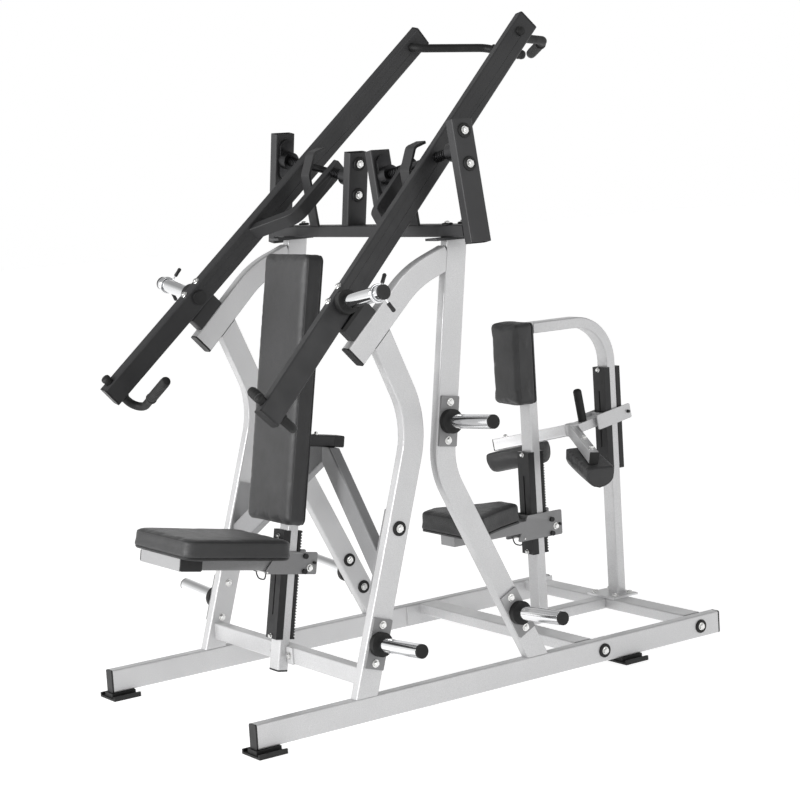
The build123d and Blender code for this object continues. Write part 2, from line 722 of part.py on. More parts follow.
def back_pad():
    body = extrude(pad_plane(-PAD_LONG / 2, PAD_THICK / 2) * Rectangle(PAD_WIDE, PAD_THICK), PAD_LONG)
    body = fillet([edge for edge in body.edges() if edge.length < PAD_THICK + 1], 22)
    front = body.faces().sort_by(Axis.Y)[0]
    return fillet(front.edges(), 12)


def bracket_plane(back=0.0):
    """Across the bracket tube, at a distance behind the pad's rear face."""
    return Plane(origin=pad_plane(BRACKET_UP, PAD_THICK + back).origin, x_dir=(1, 0, 0),
                 z_dir=pad_plane().y_dir)


def back_pad_bracket():
    """Bracket tube square to the pad, with a plate on the pad's back."""
    tube = extrude(bracket_plane() * section(*BRACKET_TUBE, WALL), BRACKET_LONG)
    plate = extrude(bracket_plane() * Rectangle(180, 120), 6)
    wide, high = BRACKET_TUBE
    bore = Rectangle(wide - 2 * WALL, high - 2 * WALL)
    return tube + plate - extrude(bracket_plane(6) * bore, BRACKET_LONG)


def back_pad_strut():
    """Tube from the bracket down to a flange on the inside of a front upright."""
    frame = pad_plane(BRACKET_UP, PAD_THICK + 146)
    head = frame.origin + Vector(0, 0, -20)
    foot = Vector(INNER_X - 6, *STRUT_FOOT)
    long = [head - (foot - head) * 0.2, foot + (foot - head) * 0.2]
    tube = bent_tube(long, TUBE_WIDE, TUBE_DEEP, side=(0, 1, 0))
    tube = split(tube, bisect_by=Plane.YZ.offset(INNER_X - 6), keep=Keep.BOTTOM)
    tube = split(tube, bisect_by=Plane.YZ.offset(1), keep=Keep.TOP)
    under = Plane(origin=pad_plane(BRACKET_UP, PAD_THICK).origin - pad_plane().z_dir * 20.2,
                  x_dir=(1, 0, 0), z_dir=pad_plane().z_dir)
    tube = split(tube, bisect_by=under, keep=Keep.BOTTOM)
    along = Vector(0, FRONT_KNEE[0] - FRONT_FOOT[0], FRONT_KNEE[1] - FRONT_FOOT[1]).normalized()
    middle = Vector(INNER_X - 6, on_line(FRONT_FOOT, FRONT_KNEE, 545), 545)
    flange = extrude(Plane(origin=middle, x_dir=along, z_dir=(1, 0, 0)) * RectangleRounded(280, 76, 4), 6)
    return max(tube.solids(), key=lambda piece: piece.volume) + flange


CHEST_PAD = (166, 82, 308)
CHEST_PAD_Z = 1037


def chest_pad():
    wide, thick, high = CHEST_PAD
    body = Pos(0, REAR_POST_Y - POST_DEEP / 2 - thick / 2, CHEST_PAD_Z) * Box(wide, thick, high)
    body = fillet(body.edges().filter_by(Axis.Y), 18)
    return fillet(body.faces().sort_by(Axis.Y)[0].edges(), 12)


# ---- arms ---------------------------------------------------------------------------------------
def arm_tube():
    line = [arm_at(CAP), arm_at(ARM_LENGTH - CAP)]
    tube = bent_tube(line, TUBE_WIDE, TUBE_DEEP, side=ARM_OUT)
    shaft = shaft_cylinder(SHAFT_R)
    tube -= shaft
    tube -= horn_cylinder(HORN_STUD_R, ARM_C - 30, ARM_C + 30)
    tube -= cylinder_between(arm_at(PRESS_T, -60), arm_at(PRESS_T, 60), HANDLE_R)
    handle = [arm_at(PULL_T, PULL_Q, ARM_C + side * TUBE_WIDE) for side in (-1, 1)]
    return tube - cylinder_between(*handle, HANDLE_R)


def arm_caps():
    low = arm_plane(CAP)
    high = arm_plane(ARM_LENGTH - CAP)
    low_end = Plane(origin=low.origin, x_dir=low.x_dir, z_dir=low.z_dir * -1)
    return [end_cap(low_end, plug=12), end_cap(high, plug=12)] + horn_caps()


SHAFT_IN_C = INNER_BRACKET_C + TUBE_WIDE / 2 + 3
SHAFT_OUT_C = OUTER_BRACKET_C - TUBE_WIDE / 2 - 3
COLLAR_R = 18
BRACE_SECTION = (30, 50)
BRACE_T = (775, 893, 1138)          # start, bend and end along the arm


def shaft_cylinder(radius, start_c=SHAFT_IN_C, end_c=SHAFT_OUT_C):
    start, end = [arm_point(c, PIVOT_Y, PIVOT_S) for c in (start_c, end_c)]
    return cylinder_between(start, end, radius)


def arm_shaft():
    """Pivot shaft with a ribbed collar beside each bearing."""
    shaft = shaft_cylinder(SHAFT_R)
    bearing = TUBE_WIDE / 2 + BEARING_THICK + 1
    for start, end in ((ARM_C + TUBE_WIDE / 2, OUTER_BRACKET_C - bearing),
                       (INNER_BRACKET_C + bearing, BRACE_C - BRACE_SECTION[0] / 2)):
        shaft += shaft_cylinder(COLLAR_R - 3, start, end)
        ribs = int((end - start) / 9)
        for i in range(ribs):
            low = start + (i + 0.25) * (end - start) / ribs
            shaft += shaft_cylinder(COLLAR_R, low, low + 4)
    return shaft


def arm_brace():
    """Brace from the arm's inner face, bent to run beside the arm and past the shaft."""
    start_t, bend_t, end_t = BRACE_T
    points = [arm_at(start_t, 0, ARM_C), arm_at(bend_t, 0, BRACE_C), arm_at(end_t, 0, BRACE_C)]
    bar = bent_tube(points, *BRACE_SECTION, wall=0, bend=60, side=ARM_OUT, corner=3)
    face = Plane(origin=arm_at(0, 0, ARM_C - TUBE_WIDE / 2), z_dir=ARM_OUT)
    bar = split(bar, bisect_by=face, keep=Keep.BOTTOM)
    return max(bar.solids(), key=lambda piece: piece.volume) - shaft_cylinder(SHAFT_R)


def horn_cylinder(radius, start_c, end_c):
    return cylinder_between(arm_at(HORN_T, 0, start_c), arm_at(HORN_T, 0, end_c), radius)


HORN_ROOT_C = ARM_C + TUBE_WIDE / 2
HORN_FLANGE = (38, 8)
HORN_END_C = HORN_ROOT_C + HORN_FLANGE[1] + HORN_LENGTH
HORN_STUD_R = 13


def weight_horn():
    """Plate horn on the arm's outer face: stud through the arm, flange disc and tube."""
    flange = horn_cylinder(HORN_FLANGE[0], HORN_ROOT_C, HORN_ROOT_C + HORN_FLANGE[1])
    tube = horn_cylinder(HORN_R, HORN_ROOT_C, HORN_END_C)
    tube -= horn_cylinder(HORN_R - 3, HORN_END_C - 60, HORN_END_C)
    return flange + tube + horn_cylinder(HORN_STUD_R, ARM_C - TUBE_WIDE / 2, HORN_ROOT_C)


def horn_caps():
    """Plastic cap in the horn's end and a plain one over its stud on the arm's inner face."""
    end = horn_cylinder(HORN_R - 0.1, HORN_END_C, HORN_END_C + 8)
    end += horn_cylinder(HORN_R - 3.2, HORN_END_C - 20, HORN_END_C)
    inner_face = ARM_C - TUBE_WIDE / 2
    return [end, horn_cylinder(26, inner_face - 8, inner_face)]


CLIP_C = HORN_END_C - 34


def spring_clip():
    """Spring collar on the horn, with two grips that are squeezed to free it."""
    ring = horn_cylinder(HORN_R + 5, CLIP_C, CLIP_C + 14)
    ring -= horn_cylinder(HORN_R + SHAFT_CLEARANCE, CLIP_C - 1, CLIP_C + 15)
    frame = arm_plane(HORN_T, 0, CLIP_C + 7)
    for turn in (38, 218):
        out = frame.x_dir.cross(frame.z_dir.rotate(Axis(frame.origin, frame.x_dir), turn)).normalized()
        start = frame.origin + out * (HORN_R + 3)
        ring += cylinder_between(start, start + out * 40, 6)
    return ring


PRESS_T = 36
PRESS_DROP = 92
PRESS_BAR = (-226, 104, -138)       # along c, along the arm, and behind it


def arm_vector(c, t, q):
    frame = arm_plane(0)
    return frame.x_dir * c + frame.z_dir * t + frame.y_dir * (REAR_SIGN * q)


def press_line():
    corner = Vector(*arm_at(PRESS_T, TUBE_DEEP / 2 + PRESS_DROP))
    return [Vector(*arm_at(PRESS_T, -TUBE_DEEP / 2 - 14)), corner, corner + arm_vector(*PRESS_BAR)]


def press_handle():
    """Bar through the arm, bent behind it into an inward grip."""
    bar = round_bar(press_line(), HANDLE_R, bend=42)
    return bar + cylinder_between(arm_at(PRESS_T, 40), arm_at(PRESS_T, 46), HANDLE_R + 4)


PULL_T = 1692
PULL_Q = -6
PULL_REACH = (-88, 236, -10)        # from the bend beside the arm
PULL_GRIP = (-152, 61, -38)


def pulldown_handle():
    """Bar from the arm's inner face, swept back and then inward and down."""
    start = Vector(*arm_at(PULL_T, PULL_Q, ARM_C + TUBE_WIDE / 2 + 10))
    elbow = Vector(*arm_at(PULL_T, PULL_Q, ARM_C - TUBE_WIDE / 2 - 34))
    reach = elbow + Vector(*PULL_REACH)
    end = reach + Vector(*PULL_GRIP)
    return round_bar([start, elbow, reach, end], HANDLE_R, bend=44)


# ---- fasteners ----------------------------------------------------------------------------------
def frame_bolts():
    """Hexagon bolts with washers, all but the ones hidden inside the frame."""
    out = (1, 0, 0)
    mid_rail = RAIL_TOP - TUBE_DEEP / 2
    right = [face_plane((OUTER_X, y, mid_rail), out) for y in (MID_CROSS_Y + 60, REAR_CROSS_Y)]
    right.append(face_plane((OUTER_X, on_line(FRONT_FOOT, FRONT_KNEE, 627), 627), out))
    plain = []
    for low, high, z in PEGS:
        base = peg_base(low, high, z).offset(PEG_PLATE[2])
        inner = plain if low == FRONT_FOOT else right
        for s in (-1, 1):
            place = Plane(base * Pos(s * PEG_BOLT_SPACING / 2, 0))
            right.append(place)
            inner.append(face_plane((INNER_X, place.origin.Y, place.origin.Z), (-1, 0, 0)))
    cross_y = on_line(FRONT_FOOT, FRONT_KNEE, FRONT_CROSS_Z) - TUBE_WIDE / 2 - CROSS_TAB[1]
    plain.append(face_plane((POST_WIDE / 2 + 1 + CROSS_TAB[0] / 2, cross_y, FRONT_CROSS_Z), (0, -1, 0)))
    outer = OUTER_BRACKET_C + TUBE_WIDE / 2
    for s in (-54, 54):
        point = arm_point(outer, PIVOT_Y, PIVOT_S + s)
        right.append(Plane(origin=point, x_dir=ARM_UP, z_dir=ARM_OUT))
        point = arm_point(INNER_BRACKET_C - TUBE_WIDE / 2, PIVOT_Y, PIVOT_S + s)
        right.append(Plane(origin=point, x_dir=ARM_UP, z_dir=tuple(-v for v in ARM_OUT)))
    bolts = [both(hexagon_bolt(place)) for place in right]
    bolts += [both(hexagon_bolt(place, washer_r=12)) for place in plain]
    return [bolt for pair in bolts for bolt in pair]


# ---- build --------------------------------------------------------------------------------------
def build():
    for name, side in SIDES.items():
        keep(f"side_rail_{name}", on_side(side_rail(), side))
        keep(f"front_upright_{name}", on_side(front_upright(), side))
        keep(f"rear_upright_{name}", on_side(rear_upright(), side))
        keep(f"top_tube_{name}", on_side(top_tube(), side))
        keep(f"arm_tube_{name}", on_side(arm_tube(), side))
        keep(f"arm_caps_{name}", *[on_side(cap, side) for cap in arm_caps()])
        keep(f"arm_shaft_{name}", on_side(arm_shaft(), side))
        keep(f"arm_brace_{name}", on_side(arm_brace(), side))
        keep(f"weight_horn_{name}", on_side(weight_horn(), side))
        keep(f"spring_clip_{name}", on_side(spring_clip(), side))
        keep(f"press_handle_{name}", on_side(press_handle(), side))
        keep(f"pulldown_handle_{name}", on_side(pulldown_handle(), side))

    mid_rail = RAIL_TOP - TUBE_DEEP / 2
    rail_ends = [Plane(origin=(RAIL_X, y, mid_rail), x_dir=(1, 0, 0), z_dir=(0, way, 0))
                 for y, way in ((CAP, -1), (RAIL_LENGTH - CAP, 1))]
    caps = [end_cap(place) for place in rail_ends] + [top_tube_cap()]
    sides = [piece for cap in caps for piece in both(cap)]
    seat_foot = seat_place(-SEAT_POST_BELOW)
    seat_end = Plane(origin=seat_foot.origin, x_dir=seat_foot.x_dir, z_dir=seat_foot.z_dir * -1)
    middle = [end_cap(bracket_plane(BRACKET_LONG), *BRACKET_TUBE, thick=BRACKET_CAP),
              end_cap(seat_end, POST_WIDE, POST_DEEP, plug=8)]
    keep("tube_end_caps", *sides, *middle)
    keep("floor_feet", *[piece for y in (40, 1540) for piece in both(floor_foot(y))])
    keep("top_crossbeam", top_crossbeam())
    keep("arm_brackets", *(both(outer_bracket()) + both(inner_bracket())))
    keep("flange_bearings", *bearings())
    keep("arm_rest_blocks", *both(rest_block()))
    keep("arm_rest_pads", *both(rest_pad()))
    keep("front_cross_member", front_cross())
    keep("mid_cross_member", low_cross(MID_CROSS_Y))
    keep("rear_cross_member", low_cross(REAR_CROSS_Y))
    keep("centre_spine", centre_spine())

    places = [peg_base(*peg) for peg in PEGS]
    keep("peg_plates", *[piece for place in places for piece in both(peg_plate(place))])
    keep("peg_tubes", *[piece for place in places for piece in both(peg_tube(place))])
    rubbers = [make(place) for place in places for make in (peg_collar, peg_cap)]
    keep("peg_rubbers", *[piece for rubber in rubbers for piece in both(rubber)])

    keep("back_pad", back_pad())
    keep("back_pad_bracket", back_pad_bracket())
    keep("back_pad_struts", *both(back_pad_strut()))
    keep("chest_pad", chest_pad())
    keep("front_seat_post", front_seat_post())
    keep("front_seat_rack", *slide_set(seat_place(GUIDE_FRONT[0]), GUIDE_FRONT[1]))
    keep("rear_seat_post", rear_post())
    keep("rear_seat_rack", *slide_set(rear_place().offset(GUIDE_REAR[0]), GUIDE_REAR[1]))
    keep("thigh_pad_post", thigh_post())
    thigh_place = Plane(origin=(0, THIGH_POST_Y, GUIDE_THIGH[0]), x_dir=(1, 0, 0), z_dir=(0, 0, 1))
    keep("thigh_pad_rack", *slide_set(thigh_place, GUIDE_THIGH[1], teeth=False))
    keep("frame_bolts", *frame_bolts())

    place = seat_place(0)
    keep("front_seat_carriage", front_carriage())
    keep("front_seat_glides", *(glide_pins(place, FRONT_PLATE_UP) + front_cross_caps()))
    keep("front_seat_cushion", cushion(place, FRONT_CUSHION, FRONT_CUSHION_UP, FRONT_CUSHION_THICK, 48))
    keep("front_seat_release", release_loop(place, *FRONT_RELEASE))
    place = rear_place()
    keep("rear_seat_carriage", rear_carriage())
    keep("rear_seat_glides", *glide_pins(place, REAR_PLATE_UP))
    keep("rear_seat_cushion", cushion(place, REAR_CUSHION, REAR_CUSHION_UP, REAR_CUSHION_THICK, 16))
    keep("rear_seat_release", release_loop(place, *REAR_RELEASE))
    keep("thigh_pad_carriage", thigh_carriage())
    keep("thigh_pads", *both(thigh_pad()))
    keep("thigh_pad_rubbers", *thigh_rubbers())


def export():
    """Writes every sub-part, with the whole machine centred on the origin."""
    reach = [piece.bounding_box() for pieces in parts.values() for piece in pieces]
    middle = (min(box.min.Y for box in reach) + max(box.max.Y for box in reach)) / 2
    for name, pieces in parts.items():
        moved = [Pos(0, -middle, 0) * piece for piece in pieces]
        shape = moved[0] if len(moved) == 1 else Compound(children=moved)
        shape.label = name
        export_step(shape, f"parts/{name}.step")
    print(len(parts), "nodes, moved forward by", middle)


build()
export()
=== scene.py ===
import json
import math

import bmesh
import bpy
from mathutils import Euler, Matrix, Vector


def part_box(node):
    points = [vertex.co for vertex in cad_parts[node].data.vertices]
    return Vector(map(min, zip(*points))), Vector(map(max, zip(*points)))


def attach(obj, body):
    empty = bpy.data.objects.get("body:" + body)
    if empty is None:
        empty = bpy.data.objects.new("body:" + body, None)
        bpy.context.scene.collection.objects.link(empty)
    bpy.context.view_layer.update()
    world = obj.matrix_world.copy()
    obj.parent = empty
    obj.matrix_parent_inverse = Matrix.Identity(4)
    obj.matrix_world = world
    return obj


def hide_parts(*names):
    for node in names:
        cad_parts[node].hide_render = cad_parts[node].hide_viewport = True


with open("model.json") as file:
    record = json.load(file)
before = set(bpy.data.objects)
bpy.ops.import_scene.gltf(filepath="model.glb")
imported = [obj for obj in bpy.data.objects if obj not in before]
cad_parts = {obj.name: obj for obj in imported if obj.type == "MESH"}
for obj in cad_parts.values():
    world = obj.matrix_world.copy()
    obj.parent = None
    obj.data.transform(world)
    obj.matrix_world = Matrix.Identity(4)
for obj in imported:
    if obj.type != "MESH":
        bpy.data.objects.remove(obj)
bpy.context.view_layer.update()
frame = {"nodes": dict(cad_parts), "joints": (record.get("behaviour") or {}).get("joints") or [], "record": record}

NODES = frame["nodes"]
SCENE = bpy.context.scene

LEAN_SEAT = 9.7         # degrees, press seat post
LEAN_PAD = 9.3          # degrees, back pad
HINGE_TILT = 10.0       # degrees, the pivot shafts rise outward


# ---- camera, light and floor --------------------------------------------------------------------
CAMERA_AT = Vector((5.7638, -4.0398, 1.8356))
CAMERA_TURN = (82.916, 3.497, 54.662)       # degrees about X, Y and Z
CAMERA_LENS = 91.0                          # mm, on a 36 mm sensor
SENSOR = 36.0
KEY_LAMP = ((-0.6, -5.8, 2.6), (0.0, 0.0, 1.1), (2.4, 2.4), 290)    # place, target, size, watts
SIDE_LAMP = ((5.4, 1.4, 3.0), (0.0, 0.2, 1.0), (2.0, 2.4), 50)
SKY_FADE = (0.12, 0.60, 1.0, 0.36)      # heights where the white walls start and end darkening
FLOOR_GREY = 0.55
FLOOR_GLOW = 0.74


def make_camera():
    data = bpy.data.cameras.new("camera")
    data.lens = CAMERA_LENS
    data.sensor_width = SENSOR
    camera = bpy.data.objects.new("camera", data)
    SCENE.collection.objects.link(camera)
    turn = Euler([math.radians(angle) for angle in CAMERA_TURN]).to_matrix().to_4x4()
    camera.matrix_world = Matrix.Translation(CAMERA_AT) @ turn
    SCENE.camera = camera


def area_light(name, at, target, size, power):
    data = bpy.data.lights.new(name, "AREA")
    data.shape = "RECTANGLE"
    data.size, data.size_y = size
    data.energy = power
    light = bpy.data.objects.new(name, data)
    SCENE.collection.objects.link(light)
    light.location = at
    light.rotation_euler = (Vector(target) - Vector(at)).to_track_quat("-Z", "Y").to_euler()


def make_studio():
    """White walls that darken overhead, two soft lamps and a pale floor."""
    world = bpy.data.worlds.new("studio")
    world.use_nodes = True
    background = world.node_tree.nodes["Background"]
    background.inputs["Color"].default_value = (1.0, 1.0, 1.0, 1.0)
    where = world.node_tree.nodes.new("ShaderNodeTexCoord")
    parts = world.node_tree.nodes.new("ShaderNodeSeparateXYZ")
    fade = world.node_tree.nodes.new("ShaderNodeMapRange")
    for socket, value in zip(("From Min", "From Max", "To Min", "To Max"), SKY_FADE):
        fade.inputs[socket].default_value = value
    world.node_tree.links.new(where.outputs["Generated"], parts.inputs["Vector"])
    world.node_tree.links.new(parts.outputs["Z"], fade.inputs["Value"])
    world.node_tree.links.new(fade.outputs["Result"], background.inputs["Strength"])
    SCENE.world = world
    SCENE.view_settings.view_transform = "Standard"
    area_light("key", *KEY_LAMP)
    area_light("side", *SIDE_LAMP)

    bpy.ops.mesh.primitive_plane_add(size=60)
    floor = bpy.context.object
    floor.name = "floor"
    paper = bpy.data.materials.new("floor_paper")
    paper.use_nodes = True
    shader = paper.node_tree.nodes["Principled BSDF"]
    shader.inputs["Base Color"].default_value = (FLOOR_GREY, FLOOR_GREY, FLOOR_GREY, 1.0)
    shader.inputs["Roughness"].default_value = 0.9
    shader.inputs["Emission Color"].default_value = (1.0, 1.0, 1.0, 1.0)
    shader.inputs["Emission Strength"].default_value = FLOOR_GLOW
    floor.data.materials.append(paper)


# ---- materials ----------------------------------------------------------------------------------
WEAR_BAND = (0.53, 0.62)    # edge sharpness where wear starts and is full
FLAKE_SCALE = 520.0         # metallic flakes in sprayed paint


class Surface:
    """A procedural material: one Principled shader with noise-driven colour, roughness and bump."""

    def __init__(self, name, metallic=0.0, coat=0.0, coat_rough=0.1, sheen=0.0, gloss=0.5):
        self.material = bpy.data.materials.new(name)
        self.material.use_nodes = True
        self.tree = self.material.node_tree
        self.shader = self.tree.nodes["Principled BSDF"]
        self.shader.inputs["Metallic"].default_value = metallic
        self.shader.inputs["Coat Weight"].default_value = coat
        self.shader.inputs["Coat Roughness"].default_value = coat_rough
        self.shader.inputs["Sheen Weight"].default_value = sheen
        self.shader.inputs["Specular IOR Level"].default_value = gloss
        self.where = self.tree.nodes.new("ShaderNodeTexCoord").outputs["Object"]
        self.height = None

    def link(self, start, end):
        self.tree.links.new(start, end)

    def stretched(self, scale):
        mapping = self.tree.nodes.new("ShaderNodeMapping")
        mapping.inputs["Scale"].default_value = scale
        self.link(self.where, mapping.inputs["Vector"])
        return mapping.outputs["Vector"]

    def noise(self, scale, detail=3.0, stretch=None):
        texture = self.tree.nodes.new("ShaderNodeTexNoise")
        texture.inputs["Scale"].default_value = scale
        texture.inputs["Detail"].default_value = detail
        source = self.stretched(stretch) if stretch else self.where
        self.link(source, texture.inputs["Vector"])
        return texture.outputs["Fac"]

    def cells(self, scale):
        texture = self.tree.nodes.new("ShaderNodeTexVoronoi")
        texture.feature = "DISTANCE_TO_EDGE"
        texture.inputs["Scale"].default_value = scale
        self.link(self.where, texture.inputs["Vector"])
        return texture.outputs["Distance"]

    def spread(self, value, low, high, start=0.3, end=0.7):
        """A 0..1 value as a number between low and high."""
        change = self.tree.nodes.new("ShaderNodeMapRange")
        change.inputs["From Min"].default_value = start
        change.inputs["From Max"].default_value = end
        change.inputs["To Min"].default_value = low
        change.inputs["To Max"].default_value = high
        self.link(value, change.inputs["Value"])
        return change.outputs["Result"]

    def mixed(self, value, first, second):
        mix = self.tree.nodes.new("ShaderNodeMix")
        mix.data_type = "RGBA"
        for socket, colour in ((mix.inputs[6], first), (mix.inputs[7], second)):
            if isinstance(colour, tuple):
                socket.default_value = (*colour, 1.0)
            else:
                self.link(colour, socket)
        self.link(value, mix.inputs[0])
        return mix.outputs[2]

    def colour(self, dark, light, scale=4.0, worn=None, speckle=0.0):
        """Mottled between two colours, and lighter on worn edges where worn gives a colour."""
        result = self.mixed(self.spread(self.noise(scale), 0.0, 1.0), dark, light)
        if speckle:
            flake = self.spread(self.noise(FLAKE_SCALE, 1.0), 0.0, 1.0, 0.35, 0.65)
            result = self.mixed(flake, tuple(c * (1.0 - speckle) for c in dark), result)
        if worn:
            edge = self.tree.nodes.new("ShaderNodeNewGeometry").outputs["Pointiness"]
            result = self.mixed(self.spread(edge, 0.0, 1.0, *WEAR_BAND), result, worn)
        self.link(result, self.shader.inputs["Base Color"])

    def roughness(self, low, high, scale=9.0, stretch=None):
        value = self.spread(self.noise(scale, 4.0, stretch), low, high)
        self.link(value, self.shader.inputs["Roughness"])

    def bump(self, value, distance, strength=1.0):
        node = self.tree.nodes.new("ShaderNodeBump")
        node.inputs["Strength"].default_value = strength
        node.inputs["Distance"].default_value = distance
        self.link(value, node.inputs["Height"])
        if self.height:
            self.link(self.height, node.inputs["Normal"])
        self.height = node.outputs["Normal"]
        self.link(self.height, self.shader.inputs["Normal"])


def powder_coat(name, dark, light, worn, rough, metallic=0.0, coat=0.0, speckle=0.0, gloss=0.5):
    """Sprayed and baked paint: fine orange peel, a little sparkle and polished edges."""
    surface = Surface(name, metallic=metallic, coat=coat, coat_rough=0.25, gloss=gloss)
    surface.colour(dark, light, scale=5.0, worn=worn, speckle=speckle)
    surface.roughness(rough - 0.06, rough + 0.08, scale=14.0)
    surface.bump(surface.noise(900.0, 2.0), 0.00012, 0.6)
    surface.bump(surface.noise(160.0, 2.0), 0.0003, 0.25)
    return surface.material


def vinyl(name, dark, light):
    """Upholstery vinyl: embossed leather grain over soft shallow wrinkles."""
    surface = Surface(name, coat=0.05, coat_rough=0.35, sheen=0.04, gloss=0.38)
    surface.colour(dark, light, scale=7.0)
    surface.roughness(0.40, 0.52, scale=30.0)
    surface.bump(surface.spread(surface.cells(420.0), 0.0, 1.0, 0.0, 0.12), 0.00025, 0.5)
    surface.bump(surface.noise(26.0, 3.0), 0.0016, 0.22)
    return surface.material


def moulded(name, dark, light, rough, grain=700.0):
    """Moulded plastic or rubber with a fine etched texture."""
    surface = Surface(name, gloss=0.3)
    surface.colour(dark, light, scale=11.0, worn=tuple(2.2 * c for c in light))
    surface.roughness(rough - 0.07, rough + 0.09, scale=40.0)
    surface.bump(surface.noise(grain, 2.0), 0.0002, 0.55)
    return surface.material


def knurled_rubber(name, dark, light):
    """Grip rubber with small close cells."""
    surface = Surface(name, sheen=0.03, gloss=0.3)
    surface.colour(dark, light, scale=16.0)
    surface.roughness(0.55, 0.72, scale=30.0)
    surface.bump(surface.spread(surface.cells(260.0), 0.0, 1.0, 0.0, 0.2), 0.0004, 0.6)
    return surface.material


def plated(name, dark, light, low, high, grain, depth):
    """Bare or plated metal with fine turned or brushed lines."""
    surface = Surface(name, metallic=1.0)
    surface.colour(dark, light, scale=8.0)
    surface.roughness(low, high, scale=12.0, stretch=grain)
    surface.bump(surface.noise(60.0, 3.0, grain), depth, 0.3)
    return surface.material


SLOTS = {
    "frame_silver": powder_coat("silver_powder_coat", (0.56, 0.56, 0.565), (0.63, 0.63, 0.635),
                                (0.78, 0.78, 0.785), 0.36, metallic=0.42, coat=0.12, speckle=0.12),
    # Painted shade: the thigh lever has the frame's silver paint, set a little darker here for the shade on it.
    "lever_silver": powder_coat("lever_silver_with_painted_shade", (0.52, 0.52, 0.525), (0.60, 0.60, 0.605),
                                (0.78, 0.78, 0.79), 0.36, metallic=0.45, coat=0.12, speckle=0.12),
    "arm_charcoal": powder_coat("charcoal_powder_coat", (0.021, 0.021, 0.022),
                                (0.028, 0.028, 0.029), (0.090, 0.090, 0.093), 0.48, gloss=0.36),
    # Painted shade: the struts have the frame's silver paint, darkened here to stand for the shade they sit in.
    "strut_grey": powder_coat("silver_coat_darkened_for_painted_shade", (0.26, 0.26, 0.265), (0.31, 0.31, 0.315),
                              (0.42, 0.42, 0.425), 0.42, metallic=0.25, speckle=0.1),
    "plate_grey": powder_coat("plate_grey_powder_coat", (0.21, 0.21, 0.213),
                              (0.26, 0.26, 0.263), (0.42, 0.42, 0.425), 0.40, metallic=0.2,
                              speckle=0.1),
    "chrome": plated("polished_chrome", (0.80, 0.81, 0.82), (0.90, 0.90, 0.91), 0.04, 0.12,
                     (40.0, 4.0, 4.0), 0.00003),
    "shaft_steel": plated("blackened_steel", (0.04, 0.04, 0.042), (0.07, 0.07, 0.072), 0.30, 0.45,
                          (60.0, 8.0, 8.0), 0.00006),
    "zinc_steel": plated("zinc_plate", (0.70, 0.70, 0.69), (0.84, 0.84, 0.83), 0.16, 0.30,
                         (30.0, 30.0, 30.0), 0.00004),
    "pad_vinyl": vinyl("black_vinyl", (0.022, 0.022, 0.0225), (0.031, 0.031, 0.032)),
    "black_rubber": moulded("black_rubber", (0.006, 0.006, 0.006), (0.010, 0.010, 0.010),
                            0.55, 500.0),
    "black_plastic": moulded("black_plastic", (0.010, 0.010, 0.0105), (0.016, 0.016, 0.0165),
                             0.42),
}
GRIP = knurled_rubber("grip_rubber", (0.008, 0.008, 0.008), (0.013, 0.013, 0.013))


# ---- mesh helpers -------------------------------------------------------------------------------
SHARP_ANGLE = math.radians(38)


def add_object(name, mesh, materials, body):
    """Puts a mesh in the scene as a piece of a body."""
    piece = bpy.data.objects.new(name, mesh)
    SCENE.collection.objects.link(piece)
    for material in materials:
        mesh.materials.append(material)
    mesh.shade_smooth()
    mesh.set_sharp_from_angle(angle=SHARP_ANGLE)
    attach(piece, body)
    return piece


def from_bmesh(bm, name, materials, body):
    """Turns a finished bmesh into a piece of a body."""
    mesh = bpy.data.meshes.new(name)
    bmesh.ops.recalc_face_normals(bm, faces=bm.faces)
    bm.to_mesh(mesh)
    bm.free()
    return add_object(name, mesh, materials, body)


def axis_frame(point, axis, beside=(0.0, 0.0, 1.0)):
    """Matrix with Z along an axis, at a point."""
    z = Vector(axis).normalized()
    x = Vector(beside) - z * z.dot(Vector(beside))
    if x.length < 0.05:
        x = Vector((1.0, 0.0, 0.0)) - z * z.x
    x.normalize()
    turn = Matrix((x, z.cross(x), z)).transposed().to_4x4()
    return Matrix.Translation(Vector(point)) @ turn


def lathe(bm, place, profile, sides=40, index=0):
    """Adds a closed turned form: profile is (radius, height) from axis to axis."""
    rings = []
    for radius, height in profile:
        if radius < 1e-6:
            rings.append([bm.verts.new(place @ Vector((0, 0, height)))])
            continue
        ring = []
        for i in range(sides):
            angle = 2 * math.pi * i / sides
            spot = Vector((radius * math.cos(angle), radius * math.sin(angle), height))
            ring.append(bm.verts.new(place @ spot))
        rings.append(ring)
    for low, high in zip(rings, rings[1:]):
        for i in range(sides):
            j = (i + 1) % sides
            corners = list(dict.fromkeys((low[i % len(low)], low[j % len(low)],
                                          high[j % len(high)], high[i % len(high)])))
            if len(corners) > 2:
                bm.faces.new(corners).material_index = index


def tube_along(bm, points, radius, sides=16, index=0, closed=False):
    """Adds a round tube along smooth points, with flat ends."""
    count = len(points)
    rings = []
    side = None
    for i, point in enumerate(points):
        before = points[(i - 1) % count] if closed or i else point
        after = points[(i + 1) % count] if closed or i < count - 1 else point
        along = (after - before).normalized()
        if side is None:
            side = along.orthogonal().normalized()
        side = (side - along * along.dot(side)).normalized()
        other = along.cross(side)
        ring = []
        for k in range(sides):
            angle = 2 * math.pi * k / sides
            spoke = side * math.cos(angle) + other * math.sin(angle)
            ring.append(bm.verts.new(point + spoke * radius))
        rings.append(ring)
    pairs = list(zip(rings, rings[1:]))
    if closed:
        pairs.append((rings[-1], rings[0]))
    for low, high in pairs:
        for k in range(sides):
            m = (k + 1) % sides
            bm.faces.new((low[k], low[m], high[m], high[k])).material_index = index
    if not closed:
        bm.faces.new(rings[0][::-1]).material_index = index
        bm.faces.new(rings[-1]).material_index = index


